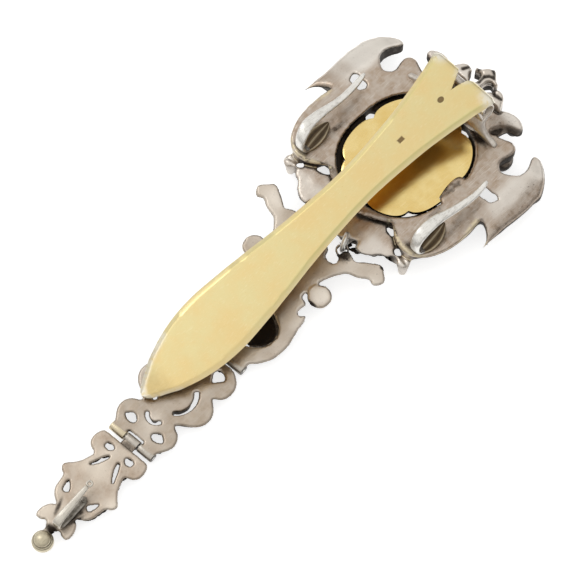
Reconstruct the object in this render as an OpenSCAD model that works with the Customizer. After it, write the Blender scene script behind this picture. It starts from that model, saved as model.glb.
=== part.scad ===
// Chatelaine watch pin, lying face down with its belt hook on top.
// The crest's axis is X = 0 and the middle of its round opening is Y = 0 until the whole is centred.

/* [Crest] */
// Height of the crest's flat back above the surface it lies on
crest_back = 7.0; // [6.6:0.1:7.4]
// Thickness of the cast crest at its edge
crest_edge = 2.6; // [2.2:0.1:3.2]
// Half width of the rounded opening that holds the medallion
opening_w = 12.5; // [12.4:0.1:12.7]
// Half height of that opening
opening_h = 13.6; // [13.5:0.1:13.7]
// Height of the lower leaf's back, which lies deeper than the crest's
leaf_back = 4.7; // [4.4:0.1:5]
// Height of the finial's back, which curls up past the crest's
finial_back = 8.5; // [8:0.1:9]
// Radius of the two round bosses that the crest stands on
boss_r = 1.65; // [1.5:0.05:1.8]

/* [Medallion] */
// Half width of the gold medallion at the middle of a lobe
medallion_w = 12.0; // [11.8:0.05:12.1]
// Half height of the medallion
medallion_h = 13.1; // [12.8:0.05:13.2]
// Depth of the notches between its lobes
notch_depth = 1.1; // [0.6:0.1:1.4]
// Thickness of its flat back plate
medallion_plate = 1.0; // [0.8:0.1:1.4]

/* [Belt hook] */
// Height of the blade's upper face at its tip
blade_tip_top = 4.3; // [4.2:0.1:4.8]
// Height of the blade's upper face at the fold
blade_fold_top = 17.7; // [17.5:0.1:18.5]
// Thickness of the gilt blade
blade_thick = 1.1; // [0.9:0.1:1.2]
// Outside radius of the fold at the top of the blade
fold_r = 1.4; // [1.3:0.1:1.5]
// Length of the slit at the top of the blade
slit_length = 4.2; // [3:0.2:6]

/* [Bracket and side hooks] */
// Thickness of the upright silver sheet
bracket_thick = 0.9; // [0.7:0.1:1.1]
// Distance of each side hook from the crest's axis
side_hook_x = 15.9; // [15.6:0.1:16.2]
// Thickness of the hook strip
strip_thick = 0.85; // [0.7:0.05:1]
// Outside radius of a side hook's bend
side_bend_r = 2.4; // [2.2:0.1:2.6]
// Outside radius of the tail hook's bend
tail_bend_r = 1.35; // [1.2:0.05:1.5]

/* [Rings] */
// Radius of a jump ring at the middle of its wire
ring_r = 1.7; // [1.65:0.05:1.75]
// Radius of the ring's wire
wire_r = 0.3; // [0.25:0.05:0.35]
// Radius of an eye at the middle of its wire
eye_r = 1.15; // [1.1:0.05:1.2]
// Radius of an eye's wire
eye_wire_r = 0.38; // [0.35:0.01:0.4]

/* [Drop] */
// Angle that the drop has swung sideways
swing = 4.8; // [4:0.2:6]
// Angle that the upper link leans up from the first hinge to the rings
lean = 5.3; // [5:0.1:5.6]
// Height of the links' flat backs above the surface
link_back = 2.8; // [2.6:0.1:3]
// Thickness of a pierced link
link_plate = 1.8; // [1.6:0.1:2]
// Radius of the first hinge's knuckles
upper_knuckle_r = 1.05; // [1:0.05:1.1]
// Radius of the second hinge's knuckles
lower_knuckle_r = 0.9; // [0.85:0.05:0.95]
// Radius of the hinge pins
pin_r = 0.4; // [0.35:0.05:0.45]
// Radius of the ball at the end of the tail
ball_r = 2.1; // [2:0.05:2.2]

/* [Hidden] */
$fn = 48;
silver = "#b9b0a6";
bright_silver = "#d2d0cb";
gold = "#e4c477";
gilt = "#e6d698";

// Running gap between parts that move on each other
gap = 0.25;
// Radial clearance of the pins
pin_gap = 0.05;
// Overlap that joins two shapes of one cast piece
weld = 0.2;

// The drop hangs from this point of the crest
hang_x = 0;
hang_y = -21;
// Distances along the drop from that point
upper_axis_y = -32.7;
lower_axis_y = -57.2;
upper_axis_z = link_back - upper_knuckle_r;
lower_axis_z = link_back - lower_knuckle_r;

// Ball at the end of the drop, and the finial's top, which end the whole
ball_at = [0.55, -82.6];
top_y = 26.2;
bottom_y = hang_y + ball_at[0] * sin(swing) + ball_at[1] * cos(swing) - ball_r;
centre_y = (top_y + bottom_y) / 2;

// Smooth closed curves through a few points. A third value of 1 makes a sharp corner.
curve_steps = 3;
function is_corner(p) = len(p) > 2 && p[2] == 1;
function flat(p) = [p[0], p[1]];
function on_curve(a, b, c, d, t) =
    let (before = is_corner(b) ? flat(b) : flat(a))
    let (after = is_corner(c) ? flat(c) : flat(d))
    let (from = flat(b))
    let (to = flat(c))
    0.5 * (2 * from + (to - before) * t
        + (2 * before - 5 * from + 4 * to - after) * t * t
        + (3 * from - before - 3 * to + after) * t * t * t);
function smooth(points, steps = curve_steps) =
    let (n = len(points))
    [for (i = [0:n - 1]) for (k = [0:steps - 1])
        on_curve(points[(i + n - 1) % n], points[i], points[(i + 1) % n], points[(i + 2) % n], k / steps)];

// The right half of an outline, from the axis round to the axis again, gives the whole outline
function on_axis(p) = abs(p[0]) < 0.01;
function both_sides(half) =
    concat(half, [for (i = [len(half) - 1:-1:0])
        if (!on_axis(half[i])) len(half[i]) > 2 ? [-half[i][0], half[i][1], half[i][2]]
                                               : [-half[i][0], half[i][1]]]);
function arc(r, from, to, steps = 12) =
    [for (i = [0:steps]) let (a = from + (to - from) * i / steps) r * [cos(a), sin(a)]];

// Outline of a bent strip: a path of [distance, height, thickness] with a normal at each point
function normal_at(path, i) =
    let (a = path[max(i - 1, 0)], b = path[min(i + 1, len(path) - 1)])
    let (d = [b[0] - a[0], b[1] - a[1]])
    [-d[1], d[0]] / norm(d);
function strip_side(path, side) =
    [for (i = [0:len(path) - 1]) flat(path[i]) + side * path[i][2] / 2 * normal_at(path, i)];
function strip_outline(path) =
    let (upper = strip_side(path, 1), lower = strip_side(path, -1))
    concat(upper, [for (i = [len(lower) - 1:-1:0]) lower[i]]);

// A shape drawn as [y, z] and drawn out along X
module across(width) {
    rotate([90, 0, 90]) linear_extrude(width, center = true) children();
}
module mirrored() {
    children();
    mirror([1, 0, 0]) children();
}
// A dome on the front: a ball's cap of foot radius r at height z
module front_dome(at, r, z, rise) {
    ball = (r * r + rise * rise) / (2 * rise);
    translate([at[0], at[1], z]) intersection() {
        translate([0, 0, ball - rise]) sphere(ball);
        translate([-2 * r, -2 * r, -2 * rise]) cube([4 * r, 4 * r, 2 * rise + weld]);
    }
}
module eye(at, z, tilt = 0) {
    translate([at[0], at[1], z]) rotate([-tilt, 0, 0]) rotate_extrude() translate([eye_r, 0]) circle(eye_wire_r, $fn = 20);
}

// Crest: right half of the plate's outline
crest_half = [
    [0, 20.3, 1], [4, 20.3], [6.2, 20.4],
    [7.3, 21.3], [8.6, 22.0], [10.4, 22.2], [12.0, 21.6], [12.9, 20.6], [12.4, 19.6],
    [11.5, 19.3], [10.6, 18.9], [10.1, 17.6], [10.1, 16.3],
    [11.6, 16.7], [13.2, 17.3], [14.5, 16.9], [15.1, 15.7], [14.9, 14.3], [14.6, 13.0], [14.9, 11.8], [16.1, 11.0],
    [17.8, 11.7], [19.0, 13.1], [19.2, 14.8], [18.7, 16.4], [18.0, 17.8], [18.0, 18.8], [19.2, 19.1],
    [21.3, 18.1], [23.3, 16.1], [24.7, 13.6], [25.3, 10.5], [25.2, 6.5], [24.9, 3.0], [24.9, 0.0],
    [24.6, -3.5, 1], [23.8, -1.7], [22.4, -0.3], [21.2, 0.4], [20.5, 0.7, 1],
    [20.8, -1.2], [21.0, -3.2], [20.9, -5.8], [20.5, -8.5], [19.7, -10.9], [18.6, -12.8],
    [17.4, -14.0], [16.0, -14.8], [14.4, -15.1], [12.8, -14.8], [11.0, -13.8], [9.6, -12.7],
    [8.7, -12.1, 1], [7.4, -13.0], [5.4, -14.0], [2.8, -14.7], [0, -14.9]];
kidney_hole = [
    [15.6, 5.3], [16.3, 6.4], [17.7, 6.3], [19.0, 6.7], [19.8, 5.8], [19.2, 4.4], [17.6, 4.1], [16.3, 4.0]];
// The hole widens towards the front, which leaves a thin lip at the back
kidney_middle = [17.7, 5.3];
kidney_flare = 1.5;
kidney_lip = 0.9;
leaf_half = [
    [0, -12.9, 1], [8.1, -12.9, 1], [9.6, -13.5], [11.2, -14.2], [12.5, -15.0], [13.6, -16.2], [12.8, -17.9],
    [11.5, -18.4], [10.6, -19.5], [9.2, -20.6], [7.7, -21.0], [6.4, -20.6], [5.7, -19.0],
    [4.6, -18.3], [3.4, -19.0], [2.0, -20.0], [0, -20.3]];
inner_scroll = [
    [1.4, 20.0, 1], [2.0, 21.0], [2.9, 22.1], [3.3, 23.1], [4.3, 23.5], [5.5, 22.9], [6.4, 21.6], [7.2, 20.0, 1]];
finial_half = [
    [0, top_y], [1.0, 25.6], [1.9, 24.7], [2.9, 24.0], [2.6, 23.2], [1.6, 23.6], [0.9, 23.0], [0.8, 21.6],
    [1.6, 20.0, 1], [0, 19.8, 1]];

// The opening and the medallion are rounded squares, a little taller than wide
squareness = 2.4;
opening_at = [0.35, 0.25];
medallion_at = [0.25, 0.15];
function rounded_r(a, w, h) =
    pow(pow(abs(cos(a)) / w, squareness) + pow(abs(sin(a)) / h, squareness), -1 / squareness);
function rounded(w, h, steps = 96) =
    [for (i = [0:steps - 1]) let (a = 360 * i / steps) rounded_r(a, w, h) * [cos(a), sin(a)]];

// The wings' backs slope down outwards and towards their tips: cuts as [x, y, direction, angle, width to the left]
wing_slopes = [[19.2, 8, 10, 20, 12], [17.2, 15.2, 58, 24, 3]];
slope_length = 16;
slope_right = 14;
module crest_plate() {
    difference() {
        translate([0, 0, crest_back - crest_edge]) linear_extrude(crest_edge) difference() {
            polygon(smooth(both_sides(crest_half)));
            translate(opening_at) polygon(rounded(opening_w, opening_h));
            polygon(smooth(kidney_hole));
            mirror([1, 0]) polygon(smooth(kidney_hole));
        }
        mirrored() translate([kidney_middle[0], kidney_middle[1], 0])
            linear_extrude(crest_back - kidney_lip) scale(kidney_flare)
                translate(-kidney_middle) polygon(smooth(kidney_hole));
        mirrored() for (w = wing_slopes)
            translate([w[0], w[1], crest_back]) rotate([0, 0, w[2]]) rotate([0, w[3], 0])
                translate([0, -slope_right, 0]) cube([slope_length, slope_right + w[4], slope_length / 2]);
    }
}
// The wings are deeper than the rest at their outer ends
wing_depth = 2.4;
wing_from = 19.4;
module wing_fronts() {
    mirrored() translate([0, 0, crest_back - crest_edge - wing_depth + weld]) linear_extrude(wing_depth)
        intersection() {
            polygon(smooth(both_sides(crest_half)));
            polygon([[wing_from, 1.5], [30, -6], [30, 22], [16.5, 22], [16.5, 16], [wing_from, 12]]);
        }
}
leaf_depth = 2.9;
module crest_leaf() {
    translate([0, 0, leaf_back - leaf_depth]) linear_extrude(leaf_depth) difference() {
        polygon(smooth(both_sides(leaf_half)));
        translate(opening_at) polygon(rounded(opening_w + weld, opening_h + weld));
    }
}
module crest_top() {
    top_depth = finial_back - crest_back + crest_edge;
    translate([0, 0, finial_back - top_depth]) linear_extrude(top_depth - weld) {
        polygon(smooth(inner_scroll));
        mirror([1, 0]) polygon(smooth(inner_scroll));
    }
    translate([0, 0, finial_back - top_depth]) linear_extrude(top_depth) polygon(smooth(both_sides(finial_half)));
}

// Front relief: domes as [x, y, radius, rise] on the right half, and a raised collar round the opening
relief_domes = [
    [18.4, -4.2, 2.2, 2.0],
    [15.6, -10.6, 3.6, 3.2], [12.9, 14.6, 1.9, 4.4], [10.6, 20.6, 1.4, 1.8], [13.9, 8.2, 1.3, 1.2],
    [6.0, 17.4, 2.4, 2.4]];
leaf_domes = [[9.2, -17.4, 2.8, 1.6], [3.6, -16.6, 2.4, 1.4]];
module crest_relief() {
    front = crest_back - crest_edge;
    mirrored() {
        for (d = relief_domes) front_dome([d[0], d[1]], d[2], front, d[3]);
        for (d = leaf_domes) front_dome([d[0], d[1]], d[2], leaf_back - leaf_depth, d[3]);
    }
    front_dome([0, 24.2], 1.3, front, 1);
    collar = 0.8;
    translate([opening_at[0], opening_at[1], front - collar]) linear_extrude(collar + weld) difference() {
        polygon(rounded(opening_w + 1.4, opening_h + 1.4));
        polygon(rounded(opening_w + 0.1, opening_h + 0.1));
    }
}
// Leaf claws that reach under the medallion's edge, by angle
claw_angles = [40, 96, 146, 200, 250, 296, 340];
claw_thick = 1.2;
claw_tip = 9.8;
medallion_back = crest_back - 0.4;
claw_top = medallion_back - medallion_plate - 0.05;
module claws() {
    for (a = claw_angles) {
        reach = rounded_r(a, opening_w, opening_h) + 2 * weld - claw_tip;
        translate([opening_at[0], opening_at[1], claw_top - claw_thick]) rotate([0, 0, a])
            translate([claw_tip, 0, 0]) linear_extrude(claw_thick)
                polygon([[0, -0.5], [reach / 2, -1.2], [reach, -1.5], [reach, 1.5], [reach / 2, 1.2], [0, 0.5]]);
    }
}
// A leaf of the front's ornament that turns up beside the medallion
side_leaf = [[11.9, -1.9], [11.4, -0.8], [11.0, 1.0], [10.9, 2.9], [11.2, 4.2], [12.0, 4.6], [14, 4.4], [14, -1.8]];
module side_leaf_tip() {
    translate([0, 0, claw_top - claw_thick]) linear_extrude(medallion_back - claw_top + claw_thick)
        polygon(smooth(side_leaf));
}
module bosses() {
    mirrored() translate([15.5, -15.9, 0]) cylinder(h = leaf_back, r = boss_r);
}

// Side hook: a tapered strip bent back over itself, as [y, z, thickness] along its middle
hook_foot_z = crest_back + strip_thick / 2 - 0.05;
hook_bend_y = -11.9;
hook_mid_r = side_bend_r - strip_thick / 2;
side_hook_path = concat(
    [[-5.6, hook_foot_z, 0.3], [-8, hook_foot_z, strip_thick]],
    [for (p = arc(hook_mid_r, -90, -270, 10)) [hook_bend_y + p[0], hook_foot_z + hook_mid_r + p[1], strip_thick]],
    [[-9, 11.5, strip_thick], [-5.5, 10.8, strip_thick], [-1.5, 10.2, 0.75], [2.2, 10.1, 0.6], [4.4, 10.3, 0.5],
     [6.1, 10.6, 0.4]]);
// Half widths of the strip by distance along the crest, seen from above
side_hook_half = [
    [0, 6.1, 1], [0.45, 5.6], [0.6, 3.2], [0.75, 0], [1.0, -4.5], [1.15, -8.5], [0.95, -12.0], [0.7, -15, 1]];
// Each hook splays a little outwards towards its tip
side_hook_splay = 3;
module side_hook(side) {
    translate([side * side_hook_x, hook_bend_y, 0]) rotate([0, 0, -side * side_hook_splay])
    translate([0, -hook_bend_y, 0]) intersection() {
        across(4) polygon(strip_outline(side_hook_path));
        translate([0, 0, crest_back - 1]) linear_extrude(8) polygon(both_sides(smooth_open(side_hook_half)));
    }
}
function smooth_open(points, steps = curve_steps) =
    let (n = len(points))
    concat([for (i = [0:n - 2]) for (k = [0:steps - 1])
        on_curve(points[max(i - 1, 0)], points[i], points[i + 1], points[min(i + 2, n - 1)], k / steps)],
        [flat(points[n - 1])]);

// Bracket: side view as [y, z] and the flared edges as [x, z]
loop_r = 1.15;
loop_y = 16.3;
loop_z = 13.55;
fork_y = 15.2;
fork_z = 11.9;
upright_path = [[15.0, crest_back - weld, bracket_thick], [fork_y, fork_z + 0.3, bracket_thick]];
lip_path = [[fork_y, fork_z - 0.2, bracket_thick * 0.8], [14.7, 13.2, 0.7], [14.0, 14.8, 0.6], [13.3, 15.85, 0.45]];
bracket_half = [
    [0, crest_back - weld], [12.6, crest_back - weld], [12.4, crest_back + 0.5], [10.6, crest_back + 0.9],
    [9.4, 9.4], [8.0, 12.0], [7.6, 16.5], [0, 16.5]];
function teardrop(r, tip) =
    let (d = norm(tip), lead = atan2(tip[1], tip[0]), half = acos(r / d))
    concat([tip], arc(r, lead + half, lead + 360 - half, 20));
module bracket() {
    intersection() {
        across(26) {
            polygon(strip_outline(upright_path));
            polygon(strip_outline(lip_path));
            translate([loop_y, loop_z]) difference() {
                polygon(teardrop(loop_r, [fork_y - loop_y, fork_z - loop_z]));
                translate([0.1, 0.1]) polygon(teardrop(loop_r - 0.5, [-0.6, -0.75]));
            }
        }
        translate([0, 18, 0]) rotate([90, 0, 0]) linear_extrude(8) polygon(both_sides(bracket_half));
    }
}
eye_x = 4.6;
crest_eye_y = -20.9;
crest_eye_z = 3.0;
// The crest's eyes slant up and outwards, so that the rings pass squarely through them
eye_slant = 60;
module crest_eyes() {
    stem = [0.9, 2.6, 0.7];
    mirrored() {
        eye([eye_x, crest_eye_y], crest_eye_z, eye_slant);
        translate([eye_x - stem[0] / 2, crest_eye_y + 0.6, leaf_back - leaf_depth]) cube(stem);
    }
}
module crest() {
    color(silver) {
        crest_plate();
        wing_fronts();
        crest_leaf();
        crest_top();
        crest_relief();
        claws();
        side_leaf_tip();
        bosses();
        crest_eyes();
        side_hook(1);
        side_hook(-1);
        bracket();
    }
}

// Medallion: a lobed plate with a domed front, resting on the claws. Its lobes meet at these angles.
notch_angles = [13, 70, 121, 172, 228, 272, 317, 373];
lobe_steps = 14;
lobed_outline = [for (k = [0:len(notch_angles) - 2]) for (i = [0:lobe_steps - 1])
    let (t = i / lobe_steps)
    let (a = notch_angles[k] * (1 - t) + notch_angles[k + 1] * t)
    (rounded_r(a, medallion_w, medallion_h) - notch_depth * pow(abs(2 * t - 1), 4)) * [cos(a), sin(a)]];
module medallion() {
    color(gold) translate([medallion_at[0], medallion_at[1], 0]) {
        translate([0, 0, medallion_back - medallion_plate]) linear_extrude(medallion_plate) difference() {
            polygon(lobed_outline);
            // Room for the leaf that turns up beside it
            translate([-medallion_at[0] - 0.25, -medallion_at[1]]) polygon(smooth(side_leaf));
        }
        front_dome([0, 0], 9.2, medallion_back - medallion_plate, 5.2);
    }
}

// Belt hook: half width of the blade by distance along the crest
blade_half = [
    [0, 17.6, 1], [8.0, 17.6, 1], [8.0, 16.4], [7.55, 15.4], [7.0, 12], [6.15, 7.5], [5.2, 1.5], [4.6, -4.5],
    [4.2, -10], [4.1, -14.5], [4.35, -20.5], [5.1, -30], [6.3, -40], [6.85, -45], [7.25, -50.5],
    [7.0, -55.5], [6.05, -60.3], [4.4, -65], [2.5, -68.5], [0, -71.0, 1]];
blade_x = 0.12;
fold_y = 16.0;
blade_slope = (blade_fold_top - blade_tip_top) / (fold_y + 71.0);
function blade_z(y) = blade_tip_top + blade_slope * (y + 71.0) - blade_thick / 2;
fold_mid_r = fold_r - blade_thick / 2;
blade_path = concat(
    [for (y = [-72, -50, -25, 0, fold_y - 0.6]) [y, blade_z(y), blade_thick]],
    [for (p = arc(fold_mid_r, 90, -80, 10)) [fold_y + p[0], blade_z(fold_y) - fold_mid_r + p[1], blade_thick]],
    [[fold_y - 0.9, blade_z(fold_y) - 2 * fold_mid_r + 0.02, 0.7]]);
module belt_hook() {
    color(gilt) translate([blade_x, 0, 0]) difference() {
        intersection() {
            across(20) polygon(strip_outline(blade_path));
            linear_extrude(20) polygon(both_sides(smooth_open(blade_half)));
        }
        translate([0, fold_y + fold_r - slit_length, 0]) linear_extrude(20)
            polygon([[0, 0], [0.9, slit_length + 0.1], [-0.9, slit_length + 0.1]]);
    }
}

// The drop's own frame: X along the hinges, Y along the drop, origin at the hanging point
module on_drop() {
    translate([hang_x, hang_y, 0]) rotate([0, 0, swing]) children();
}
// The upper link leans up about the first hinge
module on_lean() {
    translate([0, upper_axis_y, upper_axis_z]) rotate([lean, 0, 0])
        translate([0, -upper_axis_y, -upper_axis_z]) children();
}
// A knuckle along X with its bore
module knuckle(x0, x1, y, z, r) {
    translate([x0, y, z]) rotate([0, 90, 0]) cylinder(h = x1 - x0, r = r);
}
module pin_bore(half, y, z) {
    translate([-half, y, z]) rotate([0, 90, 0]) cylinder(h = 2 * half, r = pin_r + pin_gap);
}

// Upper link: right half of its outline
upper_half = [
    [0, -3.2, 1], [2.6, -3.2], [3.5, -3.9], [3.9, -5.0], [4.8, -5.4], [5.9, -5.2], [6.2, -4.3], [5.6, -3.3],
    [5.9, -2.0], [6.9, -1.5], [8.2, -2.0], [9.1, -2.2], [10.9, -0.9], [12.5, 0], [13.7, 0.3], [14.8, -0.5],
    [15.8, -1.5], [16.1, -2.5], [15.5, -3.5], [14.6, -4.0], [13.4, -3.6], [11.5, -4.7], [9.4, -5.3], [8.3, -6.6],
    [7.4, -8.0], [6.7, -9.5], [6.4, -10.6], [6.2, -12.4], [5.7, -13.7], [6.0, -14.5], [6.9, -14.7], [7.4, -15.4],
    [7.1, -16.4], [7.2, -17.4], [8.0, -17.4], [8.8, -16.9], [9.3, -18.0], [9.6, -20.5], [10.0, -22.5],
    [10.15, -24.5], [9.7, -27.2], [8.7, -29.1], [7.4, -30.6], [6.5, -31.4, 1], [0, -31.4, 1]];
upper_eye_y = -1.9;
upper_eye_x = 5.3;
pearl_at = [8.3, -12.2];
pearl_r = 2.4;
hollow_at = [0, -24.6];
hollow_w = 7.3;
hollow_h = 4.6;
upper_barrel = 6.6;
upper_middle = 2.3;
lower_barrel = 5.3;
lower_middle = 1.6;
function oval(w, h, steps = 48) =
    [for (i = [0:steps - 1]) let (a = 360 * i / steps) [w * cos(a), h * sin(a)]];

module upper_link() {
    z0 = link_back - link_plate;
    color(silver) on_drop() on_lean() difference() {
        union() {
            translate([0, 0, z0]) linear_extrude(link_plate) difference() {
                polygon(smooth(both_sides(upper_half)));
                translate(hollow_at) polygon(oval(hollow_w, hollow_h));
            }
            mirrored() {
                translate([pearl_at[0], pearl_at[1], z0 - 0.4]) cylinder(h = link_plate + 0.5, r = pearl_r);
                front_dome(pearl_at, pearl_r, z0 - 0.4, 1.3);
                front_dome([13.6, -1.9], 1.9, z0, 1.4);
                front_dome([8.3, -20.6], 1.2, z0, 0.9);
                eye([upper_eye_x, upper_eye_y], z0 + 0.9);
                knuckle(upper_middle + gap / 2, upper_barrel, upper_axis_y, upper_axis_z, upper_knuckle_r);
                translate([upper_middle + gap / 2, upper_axis_y, upper_axis_z])
                    cube([upper_barrel - upper_middle - gap / 2, -31.3 - upper_axis_y, upper_knuckle_r]);
            }
            hollow_cup(z0);
        }
        pin_bore(upper_barrel + 1, upper_axis_y, upper_axis_z);
        translate([-upper_middle - gap / 2, upper_axis_y - 2, -2])
            cube([2 * upper_middle + gap, 2 + upper_knuckle_r + gap, 6]);
    }
}
// The deep oval cup behind the link's front boss, open at the back, with a slit along its lower edge
cup_depth = 3.0;
cup_wall = 0.6;
module hollow_cup(z0) {
    cup_r = hollow_h + 0.3;
    translate([hollow_at[0], hollow_at[1], 0]) difference() {
        for (x = [-2.6, 0, 2.6]) translate([x, 0, 0]) cup_bowl(cup_r, 0);
        for (x = [-2.6, 0, 2.6]) translate([x, 0, 0]) cup_bowl(cup_r, cup_wall);
        translate([0, 0.5 - hollow_h, 0]) linear_extrude(6) polygon(oval(5.6, 0.7));
    }
}
module cup_bowl(r, wall) {
    top = link_back - 0.4;
    bowl_r = (r * r + cup_depth * cup_depth) / (2 * cup_depth);
    intersection() {
        translate([0, 0, top - cup_depth + bowl_r]) sphere(bowl_r - wall, $fn = 64);
        translate([0, 0, top - cup_depth - 1]) cylinder(h = cup_depth + 1 + (wall > 0 ? 1 : 0), r = r - wall * 0.2);
    }
}

// Middle link: right half of its outline, and its piercings
middle_half = [
    [0, -34.0, 1], [4.6, -34.1], [6.0, -34.6], [7.1, -35.4], [7.9, -36.5], [8.2, -37.8], [8.0, -39.3],
    [7.2, -40.4], [6.1, -41.1], [6.9, -41.9], [8.0, -43.1], [8.55, -44.6], [8.3, -46.2], [7.3, -47.6], [6.0, -48.4],
    [4.4, -49.4], [4.5, -50.1], [5.8, -50.8], [6.6, -51.9], [6.85, -53.1], [6.5, -54.4], [5.8, -55.5],
    [5.3, -56.2, 1], [0, -56.2, 1]];
upper_piercing = [[2.8, -36.9], [3.2, -36.0], [4.2, -36.0], [5.2, -36.8], [4.3, -38.0], [3.8, -38.5], [3.2, -37.8]];
lower_piercing = [[2.1, -53.9], [2.7, -53.2], [3.4, -52.9], [4.2, -53.4], [4.6, -53.9], [3.7, -54.5], [2.6, -54.5]];
function crescent(r, width, from, to) = concat(arc(r + width / 2, from, to), arc(r - width / 2, to, from));
module middle_link() {
    z0 = link_back - link_plate;
    neck = lower_middle + gap;
    color(silver) on_drop() difference() {
        union() {
            translate([0, 0, z0]) linear_extrude(link_plate) difference() {
                polygon(smooth(both_sides(middle_half)));
                for (side = [0, 1]) mirror([side, 0]) {
                    polygon(smooth(upper_piercing));
                    polygon(smooth(lower_piercing));
                    translate([0.2, -44.9]) polygon(crescent(3.85, 0.75, 48, -58));
                }
                translate([0, -50.4]) polygon(crescent(1.75, 0.6, -20, -160));
            }
            front_dome([0, -44.9], 3.2, z0, 1.0);
            mirrored() front_dome([6.2, -37.8], 1.6, z0, 1.0);
            mirrored() front_dome([6.5, -44.8], 1.7, z0, 1.0);
            mirrored() front_dome([5.4, -52.8], 1.2, z0, 0.8);
            knuckle(-upper_middle + gap / 2, upper_middle - gap / 2, upper_axis_y, upper_axis_z, upper_knuckle_r);
            translate([-upper_middle + gap / 2, -34.2, upper_axis_z - 0.5])
                cube([2 * upper_middle - gap, 34.2 + upper_axis_y, upper_knuckle_r + 0.5]);
            mirrored() {
                knuckle(neck, lower_barrel, lower_axis_y, lower_axis_z, lower_knuckle_r);
                translate([neck, lower_axis_y, lower_axis_z])
                    cube([lower_barrel - neck, -56 - lower_axis_y, lower_knuckle_r]);
            }
        }
        pin_bore(upper_middle, upper_axis_y, upper_axis_z);
        pin_bore(lower_barrel + 1, lower_axis_y, lower_axis_z);
        translate([-neck, lower_axis_y - 2, -1]) cube([2 * neck, 2 + lower_knuckle_r + gap, 6]);
    }
}

// Tail: right half of its outline, its piercings and its two end leaves
tail_half = [
    [0, -58.9, 1], [4.6, -58.9], [5.7, -59.3], [6.2, -60.6], [6.1, -62.1], [5.2, -63.1], [3.9, -63.7], [4.2, -65.0],
    [4.7, -66.3], [5.6, -67.5], [6.6, -68.5], [6.8, -69.3], [6.2, -70.1], [5.4, -70.6], [5.1, -72.0], [4.9, -73.2],
    [4.2, -74.4], [3.0, -75.3, 1], [2.3, -75.7, 1], [3.4, -76.4], [4.1, -77.9], [4.1, -79.2], [3.5, -79.9],
    [2.5, -79.6], [1.7, -79.2], [0.9, -80.2], [0.9, -81.2, 1], [0, -81.2, 1]];
oval_piercing = [[1.5, -60.6], [2.3, -60.2], [3.3, -60.5], [3.3, -61.3], [2.4, -61.6], [1.6, -61.2]];
slant_piercing = [[0.9, -62.2], [1.6, -62.6], [2.3, -64.0], [3.1, -66.1], [2.3, -65.4], [1.4, -63.9]];
wedge_piercing = [[2.3, -72.2], [3.4, -70.9], [3.9, -70.5], [3.8, -71.7], [3.3, -72.9], [2.6, -72.8]];
tail_hook_x = 0.6;
tail_foot_z = link_back + strip_thick * 0.4;
tail_mid_r = tail_bend_r - 0.35;
tail_hook_path = concat(
    [[-71.2, tail_foot_z, 0.5], [-73, tail_foot_z, 0.7]],
    [for (p = arc(tail_mid_r, -90, -270, 10)) [-78.1 + p[0], tail_foot_z + tail_mid_r + p[1], 0.7]],
    [[-76, 5.3, 0.7], [-73.5, 5.35, 0.65], [-71, 5.4, 0.6], [-69.1, 5.5, 0.5]]);
tail_hook_half = [[0, -68.9, 1], [0.45, -69.1], [0.6, -70.5], [0.7, -74], [0.85, -77], [0.8, -80, 1]];
module tail() {
    z0 = link_back - link_plate;
    knuckle_half = lower_middle;
    color(silver) on_drop() difference() {
        union() {
            translate([0, 0, z0]) linear_extrude(link_plate) difference() {
                polygon(smooth(both_sides(tail_half)));
                for (side = [0, 1]) mirror([side, 0]) {
                    polygon(smooth(oval_piercing));
                    polygon(smooth(slant_piercing));
                    polygon(smooth(wedge_piercing));
                }
            }
            knuckle(-knuckle_half, knuckle_half, lower_axis_y, lower_axis_z, lower_knuckle_r);
            translate([-knuckle_half, -59, z0])
                cube([2 * knuckle_half, 59 + lower_axis_y, lower_axis_z - z0 + lower_knuckle_r * 0.6]);
            translate([ball_at[0], ball_at[1], ball_r]) sphere(ball_r);
            mirrored() front_dome([4.8, -60.9], 1.0, z0, 0.9);
            mirrored() front_dome([2.8, -77.9], 0.8, z0, 0.7);
            front_dome([0, -67.6], 2.4, z0, 1.0);
            tail_hook();
            translate([1.1, -71.9, link_back - weld]) cylinder(h = 0.9, r = 0.55);
        }
        pin_bore(knuckle_half + 1, lower_axis_y, lower_axis_z);
    }
}
module tail_hook() {
    intersection() {
        translate([tail_hook_x, 0, 0]) across(4) polygon(strip_outline(tail_hook_path));
        translate([tail_hook_x, 0, 0]) linear_extrude(9) polygon(both_sides(smooth_open(tail_hook_half)));
    }
}

module hinge_pin(half, y, z) {
    translate([-half, y, z]) rotate([0, 90, 0]) cylinder(h = 2 * half, r = pin_r);
}
module upper_hinge_pin() {
    color(bright_silver) on_drop() hinge_pin(upper_barrel, upper_axis_y, upper_axis_z);
}
module lower_hinge_pin() {
    color(bright_silver) on_drop() hinge_pin(lower_barrel, lower_axis_y, lower_axis_z);
}

// Jump ring that joins an eye of the crest to an eye of the upper link
link_eye_z = link_back - link_plate + 0.9;
function leaned(y, z) = [
    upper_axis_y + (y - upper_axis_y) * cos(lean) - (z - upper_axis_z) * sin(lean),
    upper_axis_z + (y - upper_axis_y) * sin(lean) + (z - upper_axis_z) * cos(lean)];
function link_eye(side) =
    let (p = leaned(upper_eye_y, link_eye_z), x = side * upper_eye_x)
    [hang_x + x * cos(swing) - p[0] * sin(swing), hang_y + x * sin(swing) + p[0] * cos(swing), p[1]];
module jump_ring(side) {
    a = [side * eye_x, crest_eye_y, crest_eye_z];
    b = link_eye(side);
    middle = (a + b) / 2;
    d = b - a;
    chord = norm(d) / 2;
    rise = sqrt(ring_r * ring_r - chord * chord);
    translate(middle) rotate([0, 0, atan2(d[1], d[0])]) rotate([0, -atan2(d[2], norm([d[0], d[1]])), 0])
        translate([0, 0, rise]) rotate([90, 0, 0])
        rotate_extrude() translate([ring_r, 0]) circle(wire_r, $fn = 20);
}
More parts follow.
